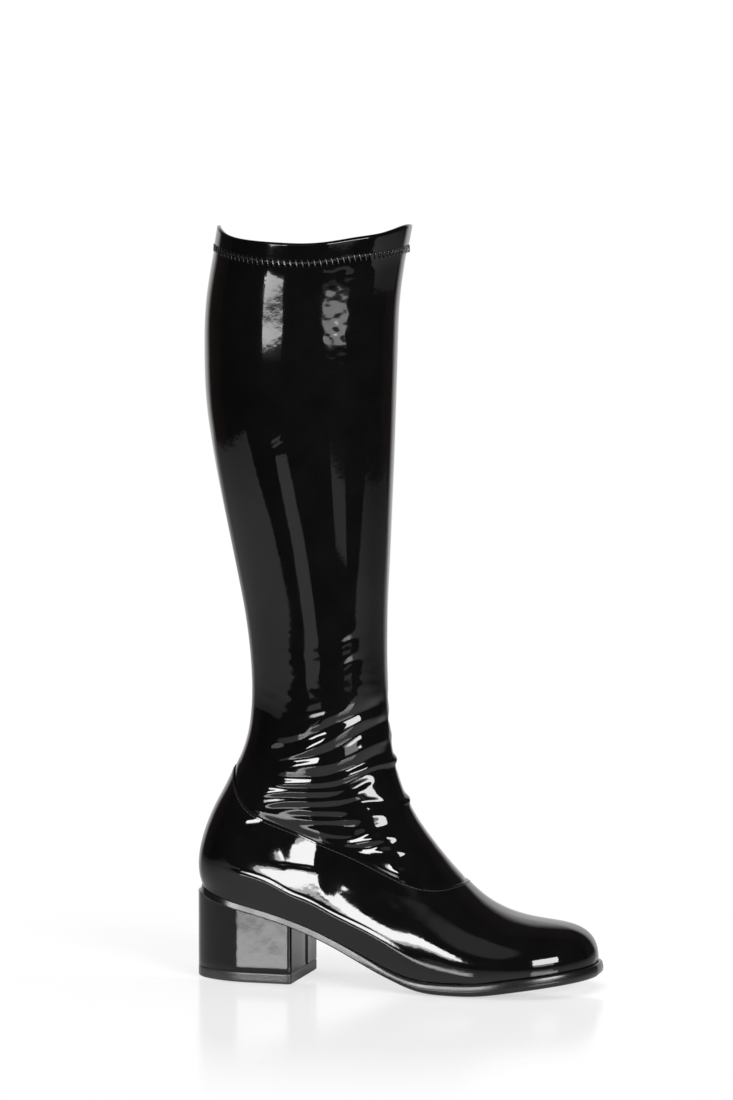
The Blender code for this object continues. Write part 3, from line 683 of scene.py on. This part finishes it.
# stitches along the cut edge
edge_path = foot_grid[-1] - up * SEAM_IN
edge_way = np.concatenate([[0], np.cumsum(np.linalg.norm(np.diff(np.vstack([edge_path, edge_path[:1]]), axis=0), axis=1))])


def on_edge_path(length):
    """Point and normal on the seam's stitch line."""
    c = np.interp(length % edge_way[-1], edge_way, np.arange(N + 1))
    j, f = int(c) % N, c - int(c)
    k = (j + 1) % N
    n = nrm[j] * (1 - f) + nrm[k] * f
    return edge_path[j] * (1 - f) + edge_path[k] * f, n / np.linalg.norm(n)


verts, faces = [], []
edge_count = int(round(edge_way[-1] / SEAM_PITCH))
edge_form = THREAD_FORM[1:]
for i in range(edge_count):
    first = len(verts)
    edge_route = []
    for share, proud in ((0.0, -0.14), (0.12, 0.05), (0.5, 0.09), (0.88, 0.05), (1.0, -0.14)):
        p, n = on_edge_path(i * edge_way[-1] / edge_count + SEAM_LONG * share)
        edge_route.append((p + n * proud, n))
    for k, (p, n) in enumerate(edge_route):
        d = edge_route[min(k + 1, 4)][0] - edge_route[max(k - 1, 0)][0]
        d /= np.linalg.norm(d)
        side = np.cross(n, d)
        side /= np.linalg.norm(side)
        for wide, high in edge_form:
            verts.append(p + side * SEAM_THREAD_HALF * wide + np.cross(d, side) * SEAM_THREAD_HALF * high)
    for s in range(4):
        for k in range(len(edge_form)):
            a0, b0 = first + s * len(edge_form) + k, first + s * len(edge_form) + (k + 1) % len(edge_form)
            faces.append((a0, b0, b0 + len(edge_form), a0 + len(edge_form)))
    faces.append(tuple(first + k for k in range(len(edge_form)))[::-1])
    faces.append(tuple(first + 4 * len(edge_form) + k for k in range(len(edge_form))))
edge_stitch = piece("seam_stitch", verts, faces, SEAM_THREAD)

# ------------------------------------------------------------------ leg
leg_v = np.concatenate([np.linspace(0, 0.40, 168), np.linspace(0.40, 0.93, 104)[1:], np.linspace(0.93, 1, 16)[1:]])
leg_grid = smoothed(loops("shaft", N, leg_v), 26)
leg_normal = outward(leg_grid)
run = along(leg_grid)
to_hem = run[-1][None] - run
lx, ly, lz = np.moveaxis(leg_grid, -1, 0)
turn = np.broadcast_to(TURN[None], lz.shape)
ankle = step(60, 80, lz) * step(215, 150, lz)
lift = fold_field(turn, lz) * step(1.5, 9, run) + follow(seam_shift, run) + collar_lean(turn, lz)
stretched = leg_grid * np.array([0.4, 0.4, 1.0])
lift = lift + 0.018 * ripple(stretched, 6.5, 11) * ankle * step(25, 70, np.minimum(turn, 360 - turn)) * step(4, 14, run)
for at, z, wide, below, above, rise in SLOUCH[1:]:
    away = (lz - z) / np.where(lz < z, below, above)
    lift = lift + rise * np.exp(-((np.minimum(turn, 360 - turn) - at) / wide) ** 2 - away ** 2) * step(0, 9, run)
rippled = np.exp(-((turn - 127) / 16) ** 2 - ((lz - 392) / 34) ** 2)
lift = lift + (0.0012 + 0.050 * rippled) * ripple(leg_grid * np.array([0.7, 0.7, 1.4]), 5.5, 12) * step(5, 20, run)
lift = lift + 0.03 * ripple(leg_grid, 40.0, 13) * step(5, 30, run) * step(2, 25, to_hem)
pucker = 0.5 + 0.5 * ripple(leg_grid * np.array([1.0, 1.0, 0.15]), 16.0, 14)
lift = lift + 0.34 * np.clip(1 - to_hem / 8.5, 0, 1) ** 2 + 0.06 * pucker * np.exp(-((to_hem - 3.2) / 2.6) ** 2)
lift = lift - 0.45 * np.exp(-(run / 3.0) ** 2)
leg_grid = leg_grid + leg_normal * lift[..., None]
down = leg_grid[0] - leg_grid[4]
down /= np.linalg.norm(down, axis=1, keepdims=True)
tuck = [leg_grid[0] + down * a - leg_normal[0] * b for a, b in ((LEG_TUCK, 0.75), (LEG_TUCK * 0.45, 0.4))]
over = leg_grid[-1] - leg_grid[-3]
over /= np.linalg.norm(over, axis=1, keepdims=True)
hidden = [leg_grid[-1] + over * a - leg_normal[-1] * b for a, b in ((0.6, -0.03), (2.5, 0.5))]
leg_rows = np.concatenate([np.array(tuck), leg_grid, np.array(hidden)])
leg = piece("leg", leg_rows.reshape(-1, 3), tube_faces(len(leg_rows), N), LEG_COAT)
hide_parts("shaft")

# ------------------------------------------------------------------ turned hem at the collar
hem_grid = smoothed(loops("collar_hem", N, np.linspace(0, 1, 9)), 4)
hem_normal = outward(np.concatenate([leg_grid[-12:-4:4], hem_grid]))[2:]
hem_grid = hem_grid + hem_normal * collar_lean(np.broadcast_to(TURN[None], hem_grid.shape[:2]), hem_grid[..., 2])[..., None]
hem_up = hem_grid[-1] - hem_grid[-2]
hem_up /= np.linalg.norm(hem_up, axis=1, keepdims=True)
profile = []
for drop, puff in ((-0.5, -0.3), (0.25, 0.05), (0.5, 0.30), (0.42, 0.46)):
    profile.append(hem_grid[0] - hem_up * drop + hem_normal[0] * puff)
for i, puff in enumerate((0.50, 0.59, 0.67, 0.75, 0.82, 0.89, 0.95, 0.97)):
    profile.append(hem_grid[i + 1] + hem_normal[i + 1] * puff)
top, n_top = hem_grid[-1] - hem_up * 0.6, hem_normal[-1]
for ang in np.linspace(15, 165, 9):
    a = math.radians(ang)
    profile.append(top + n_top * (-0.32 + 1.12 * math.cos(a)) + hem_up * 0.85 * math.sin(a))
for i in range(7, -1, -1):
    profile.append(hem_grid[i] - hem_normal[i] * (HEM_WALL - 0.4 + 0.1 * math.sin(i)))
hem_rows = np.array(profile)
wob = ripple(hem_rows * np.array([1.0, 1.0, 0.3]), 14.0, 21)
hem_rows = hem_rows + 0.06 * wob[..., None] * np.concatenate([np.repeat(hem_normal[:1], 3, 0), hem_normal, np.repeat(n_top[None], len(profile) - 12, 0)])
hem = piece("hem", hem_rows.reshape(-1, 3), tube_faces(len(hem_rows), N, True), HEM_COAT)
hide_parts("collar_hem")

# zigzag stitch along the hem
band = np.concatenate([leg_grid[-10:], hem_rows[4:9]])
band_n = outward(band)
band_s = along(band)
zero = band_s[9]
perim = np.concatenate([[0], np.cumsum(np.linalg.norm(np.diff(np.vstack([leg_grid[-1], leg_grid[-1][:1]]), axis=0), axis=1))])
zigs = int(round(perim[-1] / STITCH_PITCH))
verts, faces = [], []
SIDES, SPAN = len(THREAD_FORM) - 1, (0.0, 0.05, 0.13, 0.32, 0.5, 0.68, 0.87, 0.95, 1.0)
STEPS = len(SPAN)
col = np.arange(N + 1)


def on_band(length, high):
    """Point and normal on the hem's stitch line: length round it, height over it."""
    c = np.interp(length % perim[-1], perim, col)
    j, f = int(c) % N, c - int(c)
    k = (j + 1) % N
    pts = []
    for a in (j, k):
        s = band_s[:, a] - zero[a]
        pts.append([np.concatenate([[np.interp(high, s, band[:, a, d]) for d in range(3)], [np.interp(high, s, band_n[:, a, d]) for d in range(3)]])])
    p = np.array(pts[0][0]) * (1 - f) + np.array(pts[1][0]) * f
    return p[:3], p[3:]


pitch = perim[-1] / zigs
for i in range(zigs):
    for a, b, proud in (((i, STITCH_REACH), (i + 0.6, -STITCH_REACH), 0.30),):
        first = len(verts)
        (p_a, n_a), (p_b, n_b) = (on_band(c[0] * pitch, c[1]) for c in (a, b))
        flat = np.array([n_a[0], n_a[1], 0.0]) / math.hypot(n_a[0], n_a[1])
        low, high = (p_b, p_a) if a[1] > b[1] else (p_a, p_b)
        place = np.interp(((i + 0.3) * pitch) % perim[-1], perim, col) * 360 / N
        low += flat * ((high - low) @ flat + 0.22 - 0.16 * step(108, 118, place))
        for s in SPAN:
            n = n_a + (n_b - n_a) * s
            n /= np.linalg.norm(n)
            dive = max(0.0, 1 - min(s, 1 - s) / 0.13)
            p = p_a + (p_b - p_a) * s + n * (proud - 0.9 * dive * dive)
            d = (p_b - p_a) / np.linalg.norm(p_b - p_a)
            side = np.cross(n, d)
            side /= np.linalg.norm(side)
            r = THREAD * (1 - 0.35 * dive)
            for wide, high in THREAD_FORM[1:]:
                verts.append(p + side * r * wide + np.cross(d, side) * r * high)
        for s in range(STEPS - 1):
            for k in range(SIDES):
                a0, b0 = first + s * SIDES + k, first + s * SIDES + (k + 1) % SIDES
                faces.append((a0, b0, b0 + SIDES, a0 + SIDES))
        faces.append(tuple(first + k for k in range(SIDES))[::-1])
        faces.append(tuple(first + (STEPS - 1) * SIDES + k for k in range(SIDES)))
stitch = piece("hem_stitch", verts, faces, SILK)

# ------------------------------------------------------------------ outsole
feather_ring = foot_grid[0]
lip = sole_lip(feather_ring[:, 0])
rings = []
thick_part = step(3.2, 5.2, sole_thick(feather_ring[:, 0]))
for inward, share, thin in SOLE_EDGE[1:]:
    strip = 1 - thick_part
    plan = plan_offset(feather_ring, lip + STRIP_OUT * strip - (thin + (inward - thin) * thick_part))
    height = sole_under(plan[:, 0]) + share * (sole_thick(plan[:, 0]) + STRIP_UP * strip)
    for _ in range(24):
        height = 0.5 * height + 0.25 * (np.roll(height, 1) + np.roll(height, -1))
    rings.append(np.column_stack([plan, height]))
sole_rows = np.array(rings)
faces = [f[::-1] for f in tube_faces(len(sole_rows), N)] + cap_faces(0, N, True) + cap_faces((len(sole_rows) - 1) * N, N, False)
sole = piece("sole", sole_rows.reshape(-1, 3), faces, SOLE_COAT)
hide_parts("outsole")


# ------------------------------------------------------------------ heel block and its top piece
def heel_plan(grow, steps=40, side_steps=16, corner=8):
    c = BREAST_CORNER
    a = np.linspace(0, math.pi / 2, steps)
    x = HEEL_ROUND * (1 - np.cos(a)) + HEEL_BACK
    y = HEEL_HALF * np.sin(a) ** 0.92
    side = np.linspace(x[-1], HEEL_BREAST - c, side_steps)[1:]
    bend = np.linspace(0, math.pi / 2, corner)[1:]
    flat = np.linspace(HEEL_HALF - c, 0, 30)[1:]
    x = np.concatenate([x, side, HEEL_BREAST - c + c * np.sin(bend), np.full(len(flat), HEEL_BREAST)])
    y = np.concatenate([y, np.full(len(side), HEEL_HALF), HEEL_HALF - c + c * np.cos(bend), flat])
    ring = np.concatenate([np.column_stack([x, -y]), np.column_stack([x, y])[-2:0:-1]])
    r3 = np.column_stack([ring, np.zeros(len(ring))])
    return plan_offset(r3, np.full(len(r3), grow))


HEEL_RISE = [("in", "up"), (3.0, 0.0), (0.55, 0.0), (0.16, 0.15), (0.0, 0.55), (0.0, 4.0)]
n_heel = len(heel_plan(0.0))
heel_top = lambda x: sole_under(x) - 0.1
rings = []
for inward, up_by in HEEL_RISE[1:]:
    pl = heel_plan(-inward)
    rings.append(np.column_stack([pl, np.full(n_heel, TOP_PIECE + 0.15 + up_by)]))
pl = heel_plan(0.0)
low_z = TOP_PIECE + 0.15 + 4.0
for s in np.linspace(0, 1, 14)[1:]:
    rings.append(np.column_stack([pl, low_z + (heel_top(pl[:, 0]) - 0.30 - low_z) * s]))
for inward, d in ((0.0, 0.03), (0.12, 0.0), (3.0, 0.0)):
    p2 = heel_plan(-inward)
    rings.append(np.column_stack([p2, heel_top(p2[:, 0]) - d]))
heel_rows = np.array(rings)
hy = heel_rows[..., 1]
on_breast = heel_rows[..., 0] > HEEL_BREAST - 0.05
tall = (heel_rows[..., 2] > TOP_PIECE + 0.6)
join = np.where(on_breast & tall, 0.45 * np.tanh((hy - 5.5) / 0.5) * np.exp(-np.abs(hy - 5.5) / 6.0) - 0.35 * np.exp(-((hy - 5.5) / 0.55) ** 2), 0.0)
wave = (0.012 * ripple(heel_rows, 15.0, 31) + 0.006 * ripple(heel_rows, 7.0, 32)) * step(TOP_PIECE + 0.6, TOP_PIECE + 4, heel_rows[..., 2])
heel_rows = heel_rows + outward(heel_rows) * np.where(on_breast, 0.0, wave)[..., None] * (np.arange(len(heel_rows)) < len(heel_rows) - 2)[:, None, None]
heel_rows[..., 0] += join
faces = tube_faces(len(heel_rows), n_heel) + cap_faces(0, n_heel, False) + cap_faces((len(heel_rows) - 1) * n_heel, n_heel, True)
heel = piece("heel_block", heel_rows.reshape(-1, 3), faces, HEEL_COAT)
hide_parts("heel")

rings = []
for inward, z in ((3.0, 0.0), (0.7, 0.0), (0.2, 0.12), (0.0, 0.5), (0.0, 2.0), (0.0, 4.0), (0.0, TOP_PIECE - 0.5), (0.15, TOP_PIECE - 0.15), (0.5, TOP_PIECE), (3.0, TOP_PIECE)):
    p2 = heel_plan(-inward)
    rings.append(np.column_stack([p2, np.full(n_heel, z)]))
lift_rows = np.array(rings)
faces = tube_faces(len(lift_rows), n_heel) + cap_faces(0, n_heel, False) + cap_faces((len(lift_rows) - 1) * n_heel, n_heel, True)
top_lift = piece("top_lift", lift_rows.reshape(-1, 3), faces, RUBBER)
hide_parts("top_piece")

# ------------------------------------------------------------------ sock and lining inside
M = 120
ring = smoothed(loops("upper", M, np.linspace(0, 1, 40)), 2)[0]
rings = []
for inward, z in ((INSOLE_INSET + 3, 0.0), (INSOLE_INSET, 0.1), (INSOLE_INSET - 0.1, 0.9), (INSOLE_INSET, 1.8), (INSOLE_INSET + 0.5, 2.4), (INSOLE_INSET + 1.6, INSOLE_THICK), (INSOLE_INSET + 9, INSOLE_THICK)):
    p2 = plan_offset(ring, np.full(M, -inward))
    rings.append(np.column_stack([p2, feather(p2[:, 0]) + GAP + z]))
sock_rows = np.array(rings)
faces = tube_faces(len(sock_rows), M) + cap_faces(0, M, False) + cap_faces((len(sock_rows) - 1) * M, M, True)
sock = piece("sock", sock_rows.reshape(-1, 3), faces, SOCK)
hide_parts("insole")

parts = [smoothed(loops("upper", M, np.linspace(0, 1, 44)), 3)[1:], smoothed(loops("shaft", M, np.linspace(0, 1, 80)), 6), loops("collar_hem", M, np.linspace(0, 1, 7))[1:3]]
foot_sink = np.minimum(foot_form(parts[0]), 0)
round_turn = 360.0 * np.arange(M) / M
leg_sink = np.minimum(follow(foot_sink[-1], along(parts[1])), 0) + collar_lean(np.broadcast_to(round_turn, parts[1].shape[:2]), parts[1][..., 2])
hem_sink = collar_lean(np.broadcast_to(round_turn, parts[2].shape[:2]), parts[2][..., 2])
sink = np.concatenate([foot_sink, leg_sink, hem_sink])
shell = np.concatenate(parts)
shell_n = smoothed(outward(shell), 3)
depth = np.concatenate([np.full(len(parts[0]), 2.2), np.full(len(parts[1]), 2.0), np.full(len(parts[2]), 2.5)])
depth = np.convolve(np.pad(depth, 3, mode="edge"), np.ones(7) / 7, mode="valid")
inside = shell + shell_n * (sink - depth[:, None])[..., None] - shell_n * (0.12 * ripple(shell, 18.0, 41))[..., None]
inside[0, :, 2] = np.maximum(inside[0, :, 2], feather(inside[0, :, 0]) + 0.6)
backing = inside + shell_n * 0.7
lining_rows = np.concatenate([inside, backing[::-1]])
lining = piece("lining", lining_rows.reshape(-1, 3), [f[::-1] for f in tube_faces(len(lining_rows), M, True)], KNIT)

# ------------------------------------------------------------------ stage, light and camera
CAMERA = Vector((0.62181, -2.33442, 0.43261))
LOOK = Vector((-0.26387393, 0.96174575, -0.07359123))
AHEAD = Vector((LOOK.x, LOOK.y, 0)).normalized()
SIDE = Vector((AHEAD.y, -AHEAD.x, 0))

cam = bpy.data.cameras.new("camera")
cam.lens, cam.sensor_width, cam.sensor_fit = 135.74, 36.0, "AUTO"
cam.clip_start, cam.clip_end = 0.05, 50
view = bpy.data.objects.new("camera", cam)
bpy.context.scene.collection.objects.link(view)
view.location = CAMERA
view.rotation_mode = "QUATERNION"
view.rotation_quaternion = LOOK.to_track_quat("-Z", "Y")
bpy.context.scene.camera = view


def panel(name, azimuth, near, centre_z, wide, tall, bright, aim_z=0.25, glossy=True):
    """A soft light panel round the boot: azimuth as for the views, distance and sizes in metres, brightness as radiance."""
    a = math.radians(azimuth)
    light = bpy.data.lights.new(name, "AREA")
    light.shape, light.size, light.size_y = "RECTANGLE", wide, tall
    light.energy = bright * math.pi * wide * tall
    ob = bpy.data.objects.new(name, light)
    bpy.context.scene.collection.objects.link(ob)
    ob.location = (math.sin(a) * near, -math.cos(a) * near, centre_z)
    ob.rotation_mode = "QUATERNION"
    to = Vector((0, 0, aim_z)) - ob.location
    ob.rotation_quaternion = to.to_track_quat("-Z", "Y")
    ob.visible_glossy = glossy
    return ob


def upright(name, azimuth, near, low, high, wide, bright):
    """A panel standing upright between two heights."""
    return panel(name, azimuth, near, (low + high) / 2, wide, high - low, bright, (low + high) / 2)


upright("softbox_left_fringe", -22.7, 3.0, 0.21, 0.32, 1.12, 0.2)
upright("softbox_left_foot", -21.5, 3.0, -0.86, -0.40, 0.68, 0.72)
upright("softbox_left_low", -22.7, 3.0, 0.32, 0.45, 1.12, 10.6)
upright("softbox_left", -22.4, 3.0, 0.45, 0.87, 1.352, 25.0)
upright("softbox_right_fringe", 48.0, 3.0, 0.21, 0.34, 1.28, 0.25)
upright("softbox_right_low", 48.0, 3.0, 0.34, 0.60, 1.28, 4.4)
upright("softbox_right", 51.0, 3.0, 0.60, 1.60, 1.70, 20.0)
upright("softbox_right_foot", 50.0, 3.0, -0.31, -0.09, 1.06, 0.55)
overhead = panel("overhead", 0.0, 0.001, 1.15, 1.3, 1.3, 2.2, 0.0, False)

floor_mesh = bpy.data.meshes.new("floor")
# the table top: how far it reaches towards the camera, and to its left (-) and right
TABLE = [("near", "across"), (0.36, -1.47), (0.40, -0.62), (0.50, -0.10), (0.58, 0.70), (0.52, 2.75), (-2.2, 2.75), (-2.2, -1.47)]
corners = [SIDE * across - AHEAD * near for near, across in TABLE[1:]]
floor_mesh.from_pydata([(c.x, c.y, -0.0004) for c in corners], [], [tuple(range(len(corners)))])
floor = bpy.data.objects.new("floor", floor_mesh)
bpy.context.scene.collection.objects.link(floor)
fm, ft, fb = nodes_of("floor_white")
fb.inputs["Base Color"].default_value = (0.74, 0.74, 0.745, 1)
fb.inputs["Roughness"].default_value = 0.6
fb.inputs["Specular IOR Level"].default_value = 0.0
gl = add(ft, "ShaderNodeBsdfGlossy", Roughness=0.07)
gl.inputs["Color"].default_value = (0.95, 0.95, 0.95, 1)
lw = add(ft, "ShaderNodeFresnel", IOR=1.5)
mx = add(ft, "ShaderNodeMixShader")
ft.links.new(lw.outputs["Fac"], mx.inputs["Fac"])
ft.links.new(fb.outputs["BSDF"], mx.inputs[1])
ft.links.new(gl.outputs["BSDF"], mx.inputs[2])
glow = add(ft, "ShaderNodeEmission", Strength=0.72)
paper = add(ft, "ShaderNodeBsdfDiffuse")
paper.inputs["Color"].default_value = (0.30, 0.30, 0.30, 1)
seen = add(ft, "ShaderNodeAddShader")
ft.links.new(glow.outputs["Emission"], seen.inputs[0])
ft.links.new(paper.outputs["BSDF"], seen.inputs[1])
sheen = add(ft, "ShaderNodeBsdfGlossy", Roughness=0.16)
seen2 = add(ft, "ShaderNodeMixShader")
fc = add(ft, "ShaderNodeTexCoord")
across = add(ft, "ShaderNodeSeparateXYZ")
ft.links.new(fc.outputs["Object"], across.inputs[0])
polish = add(ft, "ShaderNodeMapRange")
polish.inputs["From Min"].default_value, polish.inputs["From Max"].default_value = -0.027, -0.012
polish.inputs["To Min"].default_value, polish.inputs["To Max"].default_value = 0.20, 0.0
ft.links.new(across.outputs["Y"], polish.inputs["Value"])
ft.links.new(polish.outputs["Result"], seen2.inputs["Fac"])
ft.links.new(seen.outputs["Shader"], seen2.inputs[1])
ft.links.new(sheen.outputs["BSDF"], seen2.inputs[2])
fade = add(ft, "ShaderNodeMixShader")
clear = add(ft, "ShaderNodeBsdfTransparent")
far = add(ft, "ShaderNodeVectorMath", operation="LENGTH")
ft.links.new(fc.outputs["Object"], far.inputs[0])
fr = add(ft, "ShaderNodeMapRange")
fr.inputs["From Min"].default_value, fr.inputs["From Max"].default_value = 0.20, 0.35
ft.links.new(far.outputs["Value"], fr.inputs["Value"])
ft.links.new(fr.outputs["Result"], fade.inputs["Fac"])
ft.links.new(seen2.outputs["Shader"], fade.inputs[1])
ft.links.new(clear.outputs["BSDF"], fade.inputs[2])
flp = add(ft, "ShaderNodeLightPath")
pick = add(ft, "ShaderNodeMixShader")
ft.links.new(flp.outputs["Is Camera Ray"], pick.inputs["Fac"])
ft.links.new(mx.outputs["Shader"], pick.inputs[1])
ft.links.new(fade.outputs["Shader"], pick.inputs[2])
ft.links.new(pick.outputs["Shader"], ft.nodes["Material Output"].inputs["Surface"])
floor_mesh.materials.append(fm)

# white studio behind the boot, a dim room in front of it
world = bpy.data.worlds.new("studio")
bpy.context.scene.world = world
world.use_nodes = True
wt = world.node_tree
bg = wt.nodes["Background"]
out = wt.nodes["World Output"]
wc = add(wt, "ShaderNodeTexCoord")
dot = add(wt, "ShaderNodeVectorMath", operation="DOT_PRODUCT")
dot.inputs[1].default_value = (AHEAD.x, AHEAD.y, 0)
wt.links.new(wc.outputs["Generated"], dot.inputs[0])
room = add(wt, "ShaderNodeValToRGB")
e = room.color_ramp.elements
e[0].position, e[0].color = 0.62, (0.004, 0.004, 0.005, 1)
e[1].position, e[1].color = 0.93, (1.0, 1.0, 1.0, 1)
mid = room.color_ramp.elements.new(0.68)
mid.color = (0.030, 0.020, 0.018, 1)
mid2 = room.color_ramp.elements.new(0.865)
mid2.color = (0.05, 0.034, 0.03, 1)
half = add(wt, "ShaderNodeMath", operation="MULTIPLY_ADD")
half.inputs[1].default_value, half.inputs[2].default_value = 0.5, 0.5
wt.links.new(dot.outputs["Value"], half.inputs[0])
wt.links.new(half.outputs["Value"], room.inputs["Fac"])
high = Vector((math.sin(math.radians(-20)) * math.cos(math.radians(52)), -math.cos(math.radians(-20)) * math.cos(math.radians(52)), math.sin(math.radians(52))))
near_high = add(wt, "ShaderNodeVectorMath", operation="DOT_PRODUCT")
near_high.inputs[1].default_value = high
wt.links.new(wc.outputs["Generated"], near_high.inputs[0])
ceiling = add(wt, "ShaderNodeMapRange", interpolation_type="SMOOTHSTEP")
ceiling.inputs["From Min"].default_value, ceiling.inputs["From Max"].default_value = math.cos(math.radians(28)), math.cos(math.radians(21))
ceiling.inputs["To Min"].default_value, ceiling.inputs["To Max"].default_value = 0.0, 0.45
wt.links.new(near_high.outputs["Value"], ceiling.inputs["Value"])
both = add(wt, "ShaderNodeVectorMath", operation="ADD")
wt.links.new(room.outputs["Color"], both.inputs[0])
wt.links.new(ceiling.outputs["Result"], both.inputs[1])
wt.links.new(both.outputs["Vector"], bg.inputs["Color"])
white = add(wt, "ShaderNodeBackground")
white.inputs["Color"].default_value = (1, 1, 1, 1)
lp = add(wt, "ShaderNodeLightPath")
wm = add(wt, "ShaderNodeMixShader")
wt.links.new(lp.outputs["Is Camera Ray"], wm.inputs["Fac"])
wt.links.new(bg.outputs["Background"], wm.inputs[1])
wt.links.new(white.outputs["Background"], wm.inputs[2])
wt.links.new(wm.outputs["Shader"], out.inputs["Surface"])

bpy.context.scene.view_settings.view_transform = "Standard"
bpy.context.scene.view_settings.look = "None"
